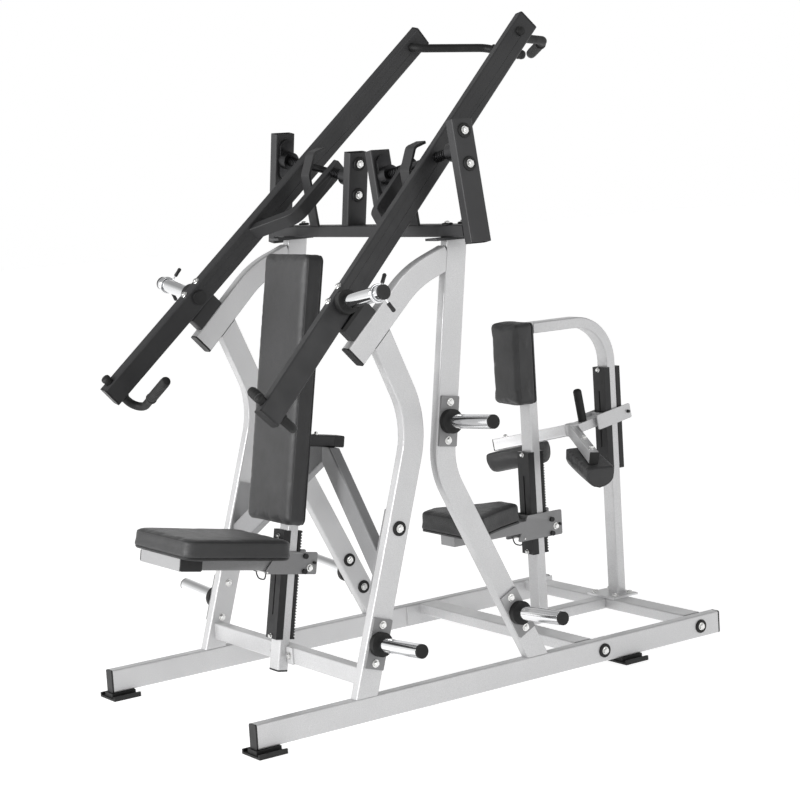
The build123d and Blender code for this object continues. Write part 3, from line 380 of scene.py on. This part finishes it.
def smooth_path(corners, steps=8):
    """Points on a smooth open curve through the corners."""
    corners = [Vector(c) for c in corners]
    padded = [corners[0] * 2 - corners[1]] + corners + [corners[-1] * 2 - corners[-2]]
    points = []
    for a, b, c, d in zip(padded, padded[1:], padded[2:], padded[3:]):
        for i in range(steps):
            t = i / steps
            points.append(0.5 * (2 * b + (c - a) * t + (2 * a - 5 * b + 4 * c - d) * t * t
                                 + (3 * b - a - 3 * c + d) * t ** 3))
    return points + [corners[-1]]


def islands(node):
    """Corners of each separate solid in a CAD node, with its faces' normals times their areas."""
    bm = bmesh.new()
    bm.from_mesh(NODES[node].data)
    bmesh.ops.remove_doubles(bm, verts=bm.verts, dist=1e-5)
    bm.verts.index_update()
    bm.faces.index_update()
    bm.normal_update()
    seen = set()
    solids = []
    for first in bm.verts:
        if first.index in seen:
            continue
        seen.add(first.index)
        stack = [first]
        corners = []
        faces = {}
        while stack:
            vert = stack.pop()
            corners.append(vert.co.copy())
            for face in vert.link_faces:
                faces[face.index] = face.normal * face.calc_area()
            for edge in vert.link_edges:
                other = edge.other_vert(vert)
                if other.index not in seen:
                    seen.add(other.index)
                    stack.append(other)
        solids.append((corners, list(faces.values())))
    bm.free()
    return solids


# ---- carried-over CAD nodes ---------------------------------------------------------------------
ROUND_EDGES = 0.0011


def dress_cad():
    """Every CAD node gets its slot's material and slightly rounded edges."""
    slots = {row["node"]: row["material_slot"] for row in frame["record"]["subparts"]}
    for name, piece in NODES.items():
        piece.data.materials.clear()
        piece.data.materials.append(SLOTS[slots[name]])
        weld = piece.modifiers.new("weld", "WELD")
        weld.merge_threshold = 0.00002
        bevel = piece.modifiers.new("edges", "BEVEL")
        bevel.width = ROUND_EDGES
        bevel.segments = 2
        bevel.limit_method = "ANGLE"
        bevel.angle_limit = math.radians(40)
        shade = piece.modifiers.new("shade", "WEIGHTED_NORMAL")
        shade.keep_sharp = True
        for face in piece.data.polygons:
            face.use_smooth = True


# ---- upholstery ---------------------------------------------------------------------------------
VOXEL = 0.006
BOARD_THICK = 0.007
BOARD_INSET = 0.007
PAD_INSET = 0.0035      # room left for the swelling inside the CAD pad
SWELL_RISE = 0.03       # height above the board over which the swelling grows in
PRESSURE = 4.0
WELT_R = 0.0017
FRAMES = 20


def evaluated(piece):
    """The piece's mesh with its modifiers applied."""
    graph = bpy.context.evaluated_depsgraph_get()
    return bpy.data.meshes.new_from_object(piece.evaluated_get(graph))


def settle(piece, mesh):
    old = piece.data
    piece.modifiers.clear()
    piece.data = mesh
    bpy.data.meshes.remove(old)


def copy_solid(name, node, chosen, transform):
    """Mesh copy of the chosen vertices of a CAD node, each moved by transform."""
    bm = bmesh.new()
    bm.from_mesh(NODES[node].data)
    bmesh.ops.remove_doubles(bm, verts=bm.verts, dist=1e-5)
    drop = [v for v in bm.verts if not chosen(v.co)]
    bmesh.ops.delete(bm, geom=drop, context="VERTS")
    for vert in bm.verts:
        vert.co = transform(vert.co)
    mesh = bpy.data.meshes.new(name)
    bm.to_mesh(mesh)
    bm.free()
    return mesh


def ease(value, start, end):
    t = min(max((value - start) / (end - start), 0.0), 1.0)
    return t * t * (3 - 2 * t)


def inflate(piece, local, cap, flat_below):
    """Cloth pressure swells the cushion; the side on its board stays flat."""
    still = [v.co.copy() for v in piece.data.vertices]
    cloth = piece.modifiers.new("cloth", "CLOTH")
    cloth.settings.quality = 4
    cloth.settings.use_pressure = True
    cloth.settings.uniform_pressure_force = PRESSURE
    cloth.settings.effector_weights.gravity = 0.0
    cloth.point_cache.frame_start = 1
    cloth.point_cache.frame_end = FRAMES
    for number in range(1, FRAMES + 1):
        SCENE.frame_set(number)
    swollen = evaluated(piece)
    inverse = local.inverted()
    for vert, before in zip(swollen.vertices, still):
        move = vert.co - before
        height = (inverse @ before).z
        length = min(move.length, cap) * ease(height, flat_below, flat_below + SWELL_RISE)
        vert.co = before + move.normalized() * length
    settle(piece, swollen)
    SCENE.frame_set(1)


def ring_points(mesh, point, normal):
    """The closed line where a plane cuts a mesh, as ordered points."""
    bm = bmesh.new()
    bm.from_mesh(mesh)
    everything = bm.verts[:] + bm.edges[:] + bm.faces[:]
    cut = bmesh.ops.bisect_plane(bm, geom=everything, plane_co=point, plane_no=normal)["geom_cut"]
    edges = {item for item in cut if isinstance(item, bmesh.types.BMEdge)}
    links = {}
    for edge in edges:
        for vert in edge.verts:
            links.setdefault(vert, []).append(edge)
    start = min(links, key=lambda v: tuple(v.co))
    path = [start]
    edge = min(links[start], key=lambda e: tuple(e.other_vert(start).co))
    while True:
        vert = edge.other_vert(path[-1])
        if vert is start:
            break
        path.append(vert)
        onward = [e for e in links[vert] if e is not edge]
        if not onward:
            break
        edge = min(onward, key=lambda e: tuple(e.other_vert(vert).co))
    points = [v.co.copy() for v in path]
    bm.free()
    return points


def evened(points, step=0.006):
    """The closed line resampled to even steps and smoothed a little."""
    loop = points + [points[0]]
    out = []
    carry = 0.0
    for a, b in zip(loop, loop[1:]):
        length = (b - a).length
        while carry < length:
            out.append(a.lerp(b, carry / length))
            carry += step
        carry -= length
    for _ in range(3):
        out = [(out[i - 1] + out[i] * 2 + out[(i + 1) % len(out)]) / 4 for i in range(len(out))]
    return out


def upholster(name, node, body, normal, beside, cap, seams, chosen=lambda co: True,
              end_seams=(), replace=True, board=True):
    """Cushion grown from a CAD pad: vinyl over foam, with welted seams and a board behind.

    cap limits the swelling, seams are shares of the thickness and end_seams of the half length.
    """
    corners = [v.co for v in NODES[node].data.vertices if chosen(v.co)]
    centre = sum(corners, Vector()) / len(corners)
    local = axis_frame(centre, normal, beside)
    inverse = local.inverted()
    spans = [[(inverse @ co)[i] for co in corners] for i in range(3)]
    low = Vector([min(span) for span in spans])
    high = Vector([max(span) for span in spans])
    local = local @ Matrix.Translation(((low.x + high.x) / 2, (low.y + high.y) / 2, low.z))
    inverse = local.inverted()
    half = (high - low) / 2
    thick = high.z - low.z
    start = BOARD_THICK if board else 0.0

    def shrink(co):
        spot = inverse @ co
        spot.x *= 1 - PAD_INSET / half.x
        spot.y *= 1 - PAD_INSET / half.y
        spot.z = start + spot.z * (thick - start - PAD_INSET) / thick
        return local @ spot

    def flatten(co):
        spot = inverse @ co
        spot.x *= 1 - BOARD_INSET / half.x
        spot.y *= 1 - BOARD_INSET / half.y
        spot.z = min(spot.z, BOARD_THICK * 0.9) if spot.z > thick / 2 else spot.z
        return local @ spot

    piece = bpy.data.objects.new(name, copy_solid(name, node, chosen, shrink))
    SCENE.collection.objects.link(piece)
    remesh = piece.modifiers.new("remesh", "REMESH")
    remesh.mode = "VOXEL"
    remesh.voxel_size = VOXEL
    soften = piece.modifiers.new("soften", "SMOOTH")
    soften.factor = 0.5
    soften.iterations = 5
    settle(piece, evaluated(piece))
    inflate(piece, local, cap, start)
    divide = piece.modifiers.new("divide", "SUBSURF")
    divide.levels = divide.render_levels = 1
    settle(piece, evaluated(piece))
    piece.data.shade_smooth()
    piece.data.materials.clear()
    piece.data.materials.append(SLOTS["pad_vinyl"])
    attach(piece, body)
    if replace:
        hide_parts(node)

    bm = bmesh.new()
    turn = local.to_3x3()
    planes = [(Vector((0, 0, start + share * (thick - start))), turn.col[2]) for share in seams]
    planes += [(Vector((0, share * half.y, thick / 2)), turn.col[1]) for share in end_seams]
    for point, direction in planes:
        seam = evened(ring_points(piece.data, local @ point, direction))
        tube_along(bm, seam, WELT_R, sides=8, closed=True)
    from_bmesh(bm, name + "_welts", (SLOTS["pad_vinyl"],), body)

    if board:
        mesh = copy_solid(name + "_board", node, chosen, flatten)
        add_object(name + "_board", mesh, (SLOTS["black_plastic"],), body)


PAD_SWELL = 0.005
THIGH_SWELL = 0.004
PAD_SEAM = 0.82
SEAT_SEAM = 0.84
THIGH_SEAM = 0.955
THIGH_RUN = (1.0, -0.36, -0.22)     # direction of the right thigh pad, outward


def make_pads():
    """The back pad, the chest pad, the two seats and the two thigh pads."""
    lean = math.radians(LEAN_PAD)
    front = (0.0, -math.cos(lean), math.sin(lean))
    upright = (0.0, math.sin(lean), math.cos(lean))
    upholster("back_cushion", "back_pad", "frame", front, upright, PAD_SWELL, (PAD_SEAM,))
    upholster("chest_cushion", "chest_pad", "frame", (0.0, -1.0, 0.0), (0.0, 0.0, 1.0), PAD_SWELL,
              (PAD_SEAM,))
    seat = math.radians(LEAN_SEAT)
    upholster("press_seat_cushion", "front_seat_cushion", "press_seat",
              (0.0, math.sin(seat), math.cos(seat)), (1.0, 0.0, 0.0), PAD_SWELL, (SEAT_SEAM,))
    upholster("pulldown_seat_cushion", "rear_seat_cushion", "pulldown_seat", (0.0, 0.0, 1.0),
              (1.0, 0.0, 0.0), PAD_SWELL, (SEAT_SEAM,))
    for name, side in (("thigh_pad_right", 1), ("thigh_pad_left", -1)):
        along = Vector((side * THIGH_RUN[0], *THIGH_RUN[1:])).normalized()
        across = Vector((0.0, 0.0, 1.0)).cross(along).normalized()
        down = along.cross(across)
        if down.z > 0:
            down = -down
        upholster(name, "thigh_pads", "thigh_pad_slide", down, across, THIGH_SWELL, (),
                  chosen=lambda co, s=side: co.x * s > 0, end_seams=(-THIGH_SEAM, THIGH_SEAM),
                  replace=side > 0, board=False)


# ---- places on the machine ----------------------------------------------------------------------
ARM_ANGLE = math.radians(43.825)
ARM_PIVOT_T = 1.0968            # the pivot's place on its arm, in on_arm's measures
ARM_PIVOT_Q = -0.0062
ARM_C = 0.6915
ARM_HALF = (0.020, 0.040)       # half of the arm tube, across and deep
POST_MIDDLE = 0.2425            # half the length of the press seat post
JOINTS = {joint["name"]: joint for joint in frame["joints"]}


def arm_axes(side):
    """Directions of an arm: along its pivot shaft outward, along its tube and behind it."""
    tilt = math.radians(HINGE_TILT)
    out = Vector((side * math.cos(tilt), 0.0, math.sin(tilt)))
    up = Vector((-side * math.sin(tilt), 0.0, math.cos(tilt)))
    ahead = Vector((0.0, 1.0, 0.0))
    along = ahead * math.cos(ARM_ANGLE) + up * math.sin(ARM_ANGLE)
    behind = ahead * math.sin(ARM_ANGLE) - up * math.cos(ARM_ANGLE)
    return out, along, behind


def on_arm(side, t, q, c):
    """Point on an arm: t from its lower end, q behind its centre line, c outward."""
    pivot = Vector(JOINTS["right_arm_pivot" if side > 0 else "left_arm_pivot"]["pos_m"])
    out, along, behind = arm_axes(side)
    return pivot + along * (t - ARM_PIVOT_T) + behind * (q - ARM_PIVOT_Q) + out * (c - ARM_C)


def lean_point(up, back):
    """Point in the middle plane, up the press seat post and behind its axis."""
    lean = math.radians(LEAN_SEAT)
    low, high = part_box("front_seat_post")
    axis_y = (low[1] + high[1]) / 2
    axis_z = (low[2] + high[2]) / 2
    rise = up - POST_MIDDLE
    return Vector((0.0, axis_y + rise * math.sin(lean) + back * math.cos(lean),
                   axis_z + rise * math.cos(lean) - back * math.sin(lean)))


# ---- fasteners ----------------------------------------------------------------------------------
RUBBER, ZINC = 0, 1     # places in BOLT_MATERIALS
BOLT_MATERIALS = (SLOTS["black_rubber"], SLOTS["zinc_steel"])


def hexagon(bm, place, radius, height, base=0.0):
    """Hexagon head with a chamfered crown."""
    lift = place @ Matrix.Translation((0.0, 0.0, base))
    crown = lift @ Matrix.Translation((0.0, 0.0, height))
    lathe(bm, lift, [(0, 0), (radius, 0), (radius, height - 0.0016), (radius * 0.86, height),
                     (0, height)], sides=6, index=ZINC)
    lathe(bm, crown, [(0, -0.001), (radius * 0.62, -0.001), (radius * 0.55, 0.0008), (0, 0.0008)],
          sides=24, index=ZINC)


def big_washer_bolt(bm, point, axis, radius=0.0245, head=0.0115):
    """Hexagon bolt seated in a wide domed rubber washer."""
    place = axis_frame(point, axis)
    lathe(bm, place, [(0, 0), (radius, 0), (radius, 0.0035), (radius - 0.0022, 0.0062),
                      (radius - 0.006, 0.0070), (head + 0.0035, 0.0066), (head + 0.0025, 0.0040),
                      (0, 0.0040)], index=RUBBER)
    lathe(bm, place, [(0, 0.0038), (head + 0.002, 0.0038), (head + 0.002, 0.0052), (0, 0.0052)],
          index=ZINC)
    hexagon(bm, place, head, 0.0075, 0.0050)


def plain_bolt(bm, point, axis, head=0.0105, washer=0.0135):
    """Hexagon bolt on a thin zinc washer."""
    place = axis_frame(point, axis)
    lathe(bm, place, [(0, 0), (washer, 0), (washer, 0.0018), (washer - 0.0006, 0.0024),
                      (0, 0.0024)], index=ZINC)
    hexagon(bm, place, head, 0.0072, 0.0022)


def dome_cap(bm, point, axis, radius, height):
    """Black dome cap over a nut or a bar's end."""
    place = axis_frame(point, axis)
    profile = [(0, 0), (radius, 0), (radius, height * 0.45)]
    for step in range(1, 6):
        angle = math.radians(90 * step / 6)
        profile.append((radius * math.cos(angle), height * (0.45 + 0.55 * math.sin(angle))))
    lathe(bm, place, profile + [(0, height)], index=RUBBER)


def bolt_places():
    """Foot, axis and washer radius of each CAD bolt: its largest flat faces lie across its axis."""
    places = []
    for corners, faces in islands("frame_bolts"):
        facing = {}
        for face in faces:
            way = tuple(round(part, 2) for part in face.normalized())
            facing[way] = facing.get(way, Vector()) + face
        axis = max(facing.values(), key=lambda total: total.length).normalized()
        centre = sum(corners, Vector()) / len(corners)
        heights = [(corner - centre).dot(axis) for corner in corners]
        widths = [(corner - centre - axis * h).length for corner, h in zip(corners, heights)]
        rim = [h for h, w in zip(heights, widths) if w > 0.9 * max(widths)]
        if sum(rim) > 0:
            axis = -axis
            heights = [-h for h in heights]
        places.append((centre + axis * min(heights), axis, max(widths)))
    return places


GUIDE_BOLT = (0.0066, 0.0086)           # head and washer radius
GUIDE_END = 0.0095                      # from a guide's end to its bolt
PRESS_GUIDE_UPS = (0.107, 0.447)        # bolts of the press seat's guide, in lean_point's measures
PRESS_GUIDE_BACK = -0.040
SMALL_WASHER = 0.014                    # CAD washers under this radius belong to plain bolts
BEAM_BOLT_YS = (-0.125, -0.060)         # on the top crossbeam, over the rear uprights
BEAM_BOLT_Z = 1.582
SIDE_HALF = 0.020                       # half the width of a side frame's tube
POST_BOLT_X = 0.056                     # on the foot plate of the thigh pads' post
POST_BOLT_YS = (0.8764, 0.9508)
POST_PLATE = 0.008
BRACKET_BOLT_X = 0.012
BRACKET_BOLT_AXIS = (0.0, 0.16, 0.98)
BRACKET_BOLT_SHARES = (0.30, 0.62)      # places along the back pad's bracket
BRACKET_FACE = (-0.4796, 0.9065, 0.1637)    # a point's Y and Z on the bracket's top, and its fall


def make_fasteners():
    """Every bolt of the frame."""
    bm = bmesh.new()
    plate_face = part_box("peg_plates")[1][0]
    for point, axis, washer in bolt_places():
        if abs(abs(point.x) - plate_face) < 0.003 or washer < SMALL_WASHER:
            plain_bolt(bm, point, axis)
        else:
            big_washer_bolt(bm, point, axis)
    frame_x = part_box("front_cross_member")[1][0] + SIDE_HALF
    for side in (-1, 1):
        for y in BEAM_BOLT_YS:
            big_washer_bolt(bm, (side * frame_x, y, BEAM_BOLT_Z), (0, 0, 1), 0.019, 0.009)
    post_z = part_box("thigh_pad_post")[0][2] + POST_PLATE
    for y in POST_BOLT_YS:
        for side in (-1, 1):
            plain_bolt(bm, (side * POST_BOLT_X, y, post_z), (0, 0, 1))
    for node in ("rear_seat_rack", "thigh_pad_rack"):
        low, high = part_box(node)
        for z in (low[2] + GUIDE_END, high[2] - GUIDE_END):
            plain_bolt(bm, (0, low[1], z), (0, -1, 0), *GUIDE_BOLT)
    lean = math.radians(LEAN_SEAT)
    for up in PRESS_GUIDE_UPS:
        point = lean_point(up, PRESS_GUIDE_BACK)
        plain_bolt(bm, point, (0, -math.cos(lean), math.sin(lean)), *GUIDE_BOLT)
    low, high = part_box("back_pad_bracket")
    face_y, face_z, fall = BRACKET_FACE
    for share in BRACKET_BOLT_SHARES:
        y = low[1] + share * (high[1] - low[1])
        z = face_z - (y - face_y) * fall
        plain_bolt(bm, (BRACKET_BOLT_X, y, z), BRACKET_BOLT_AXIS, 0.007, 0.010)
    piece = from_bmesh(bm, "bolts", BOLT_MATERIALS, "frame")
    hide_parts("frame_bolts")


LEVER_JUNCTION = Vector((0.0, 0.7553, 0.7586))
LEVER_BRANCH = (1.0, -0.5, -0.22)       # direction of the crossbar's right branch
LEVER_REACH = 0.285
LEVER_TOP = 0.022                       # from the branch's axis to its upper face
LEVER_SHARES = (0.52, 0.86)


def make_lever_bolts():
    """Bolts on top of the thigh crossbar that hold its two pads."""
    bm = bmesh.new()
    for side in (-1, 1):
        out = Vector((side * LEVER_BRANCH[0], *LEVER_BRANCH[1:]))
        up = out.cross(Vector((0, 1, 0)) - out * (out.y / out.length_squared)).normalized()
        up = up if up.z > 0 else -up
        for share in LEVER_SHARES:
            point = LEVER_JUNCTION + out * (LEVER_REACH * share) + up * LEVER_TOP
            plain_bolt(bm, point, up, 0.009, 0.012)
    from_bmesh(bm, "lever_bolts", BOLT_MATERIALS, "thigh_pad_slide")


HORN_T = 0.470                      # places on an arm, in on_arm's measures
HORN_BOLT_TS = (0.443, 0.507)
LOWER_CAP_T = 0.036
UPPER_CAP_T = 1.692
UPPER_CAP_Q = -0.006
CAP_HEIGHT = 0.014
BUMPER = [(0, 0.0003), (0.0388, 0.0003), (0.0388, 0.0195), (0.0366, 0.0220), (0.0243, 0.0220),
          (0, 0.0220)]


def make_arm_details(side, word):
    """Bolts and caps on an arm, and the rubber bumper over the horn's flange."""
    out, _, behind = arm_axes(side)
    bm = bmesh.new()
    face = -ARM_HALF[1]
    outer = ARM_C + ARM_HALF[0]
    for t in HORN_BOLT_TS:
        plain_bolt(bm, on_arm(side, t, face, ARM_C), -behind, 0.009, 0.012)
    dome_cap(bm, on_arm(side, LOWER_CAP_T, face - CAP_HEIGHT, ARM_C), -behind, 0.0165, CAP_HEIGHT)
    dome_cap(bm, on_arm(side, UPPER_CAP_T, UPPER_CAP_Q, outer), out, 0.016, 0.012)
    lathe(bm, axis_frame(on_arm(side, HORN_T, 0.0, outer), out), BUMPER, sides=64)
    from_bmesh(bm, f"arm_fasteners_{word}", BOLT_MATERIALS, f"{word}_arm")


CLIP_WIRE_R = 0.0028
CLIP_R = 0.0275
CLIP_C = 0.8925         # the coil's middle on its horn
CLIP_TURNS = 2.25
CLIP_LONG = 0.013
CLIP_STEPS = 76


def clip_grip(length):
    """Profile of the plastic grip on a wire end, for lathe."""
    return [(0, 0), (0.0055, 0), (0.0066, 0.004), (0.0062, length * 0.6), (0.0070, length + 0.002),
            (0.0045, length + 0.006), (0, length + 0.007)]


def make_clip(side, word):
    """Coiled spring collar with two splayed grips."""
    out, along, behind = arm_axes(side)
    centre = on_arm(side, HORN_T, 0.0, CLIP_C)
    coil = []
    for i in range(CLIP_STEPS):
        share = i / (CLIP_STEPS - 1)
        angle = 2 * math.pi * CLIP_TURNS * share
        spoke = along * math.cos(angle) + behind * math.sin(angle)
        coil.append(centre + out * (CLIP_LONG * share) + spoke * CLIP_R)
    bm = bmesh.new()
    tips = []
    for corner, before, splay in ((coil[0], coil[1], -1), (coil[-1], coil[-2], 1)):
        away = corner - centre
        away = (away - out * away.dot(out)).normalized()
        bend = (corner - before).normalized() * 0.010
        tips.append(corner + away * 0.040 + out * (0.004 * splay) + bend)
    path = smooth_path([tips[0], coil[0].lerp(tips[0], 0.4), coil[0]], 5)[:-1] + coil
    path += smooth_path([coil[-1], coil[-1].lerp(tips[1], 0.4), tips[1]], 5)[1:]
    tube_along(bm, path, CLIP_WIRE_R, sides=10, index=1)
    for foot, tip in zip((coil[0], coil[-1]), tips):
        start = foot.lerp(tip, 0.35)
        axis = tip - start
        lathe(bm, axis_frame(start, axis), clip_grip(axis.length), sides=20, index=0)
    materials = (SLOTS["black_plastic"], SLOTS["chrome"])
    piece = from_bmesh(bm, f"spring_collar_{word}", materials, f"{word}_clip")
    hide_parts(f"spring_clip_{word}")


def end_of(node, direction):
    """Centre, normal and radius of a bar's flat end that faces most along a direction."""
    mesh = NODES[node].data
    wanted = Vector(direction).normalized()
    best = max(mesh.polygons, key=lambda f: f.center.dot(wanted))
    faces = [f for f in mesh.polygons if f.normal.dot(best.normal) > 0.999
             and abs((f.center - best.center).dot(best.normal)) < 2e-4]
    spots = {mesh.vertices[i].co.copy().freeze() for f in faces for i in f.vertices}
    centre = sum(spots, Vector()) / len(spots)
    return centre, best.normal.copy(), max((v - centre).length for v in spots)


GRIPS = (("press_handle", 0.16, (1.0, 0.2, 0.3)), ("pulldown_handle", 0.13, (1.0, 0.0, 0.0)))
GRIP_RIDGES = 11
GRIP_THICK = 0.0022
COLLAR_HIGH = 0.0025
RIDGE_HIGH = 0.0009


def grip_profile(bar, length):
    """Profile of a rubber grip over a round bar, with a collar at its foot and a rounded end."""
    grip = bar + GRIP_THICK
    collar = grip + COLLAR_HIGH
    ridge = grip + RIDGE_HIGH
    profile = [(0, 0), (bar - 0.001, 0), (collar, 0.001), (collar, 0.006), (grip, 0.009)]
    step = (length - 0.030) / GRIP_RIDGES
    for i in range(GRIP_RIDGES):
        start = 0.014 + i * step
        profile += [(grip, start), (ridge, start + step * 0.25), (ridge, start + step * 0.6),
                    (grip, start + step * 0.85)]
    return profile + [(grip, length - 0.006), (grip * 0.8, length + 0.002),
                      (grip * 0.45, length + 0.0042), (0, length + 0.0048)]


def make_grips(side, word):
    """Rounded rubber ends and raised collars on the two handles of an arm."""
    for handle, length, facing in GRIPS:
        centre, normal, radius = end_of(f"{handle}_{word}", (-side * facing[0], *facing[1:]))
        bm = bmesh.new()
        place = axis_frame(centre - normal * length, normal)
        lathe(bm, place, grip_profile(radius, length), sides=40)
        from_bmesh(bm, f"{handle}_grip_{word}", (GRIP,), f"{word}_arm")


WIRE_R = 0.0024
WIRE_HALF = 0.030
PIN_R = 0.003
PIN_HALF = 0.043


def make_wire_loops():
    """Curved release wires under the two seats."""
    for node, name, body in (("front_seat_release", "press_seat_wire", "press_seat_lever"),
                             ("rear_seat_release", "pulldown_seat_wire", "pulldown_seat_lever")):
        low, high = (Vector(corner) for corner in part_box(node))
        pin_z = high.z - PIN_R
        y = (low.y + high.y) / 2
        drop = pin_z - low.z - 0.002
        half_loop = [(-WIRE_HALF, 0.0), (-WIRE_HALF * 0.93, drop * 0.55), (-WIRE_HALF * 0.5, drop)]
        loop = half_loop + [(-x, depth) for x, depth in reversed(half_loop)]
        bm = bmesh.new()
        tube_along(bm, smooth_path([(x, y, pin_z - depth) for x, depth in loop]), WIRE_R, sides=12,
                   index=0)
        tube_along(bm, [Vector((-PIN_HALF, y, pin_z)), Vector((PIN_HALF, y, pin_z))], PIN_R,
                   sides=16, index=1)
        piece = from_bmesh(bm, name, (SLOTS["black_plastic"], SLOTS["zinc_steel"]), body)
        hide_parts(node)


CARRIAGE_FACE = 0.040       # half the width of a seat carriage
PRESS_PIVOT = (0.343, 0.068)        # up and back, in lean_point's measures
PULLDOWN_PIVOT = (0.030, 0.012)     # ahead of the carriage's back and under its middle


def make_seat_bolts():
    """Bright pivot bolts on the outer faces of the two seat carriages."""
    low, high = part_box("rear_seat_carriage")
    middle_z = (low[2] + high[2]) / 2
    pulldown = Vector((0.0, high[1] - PULLDOWN_PIVOT[0], middle_z - PULLDOWN_PIVOT[1]))
    press = lean_point(*PRESS_PIVOT)
    for name, body, point in (("press_seat_bolts", "press_seat", press),
                              ("pulldown_seat_bolts", "pulldown_seat", pulldown)):
        bm = bmesh.new()
        for side in (-1, 1):
            spot = point + Vector((side * CARRIAGE_FACE, 0.0, 0.0))
            plain_bolt(bm, spot, (side, 0, 0), 0.010, 0.0125)
        from_bmesh(bm, name, BOLT_MATERIALS, body)


make_camera()
make_studio()
dress_cad()
make_pads()
make_fasteners()
make_wire_loops()
make_lever_bolts()
make_seat_bolts()
for arm_side, arm_word in ((1, "right"), (-1, "left")):
    make_arm_details(arm_side, arm_word)
    make_clip(arm_side, arm_word)
    make_grips(arm_side, arm_word)
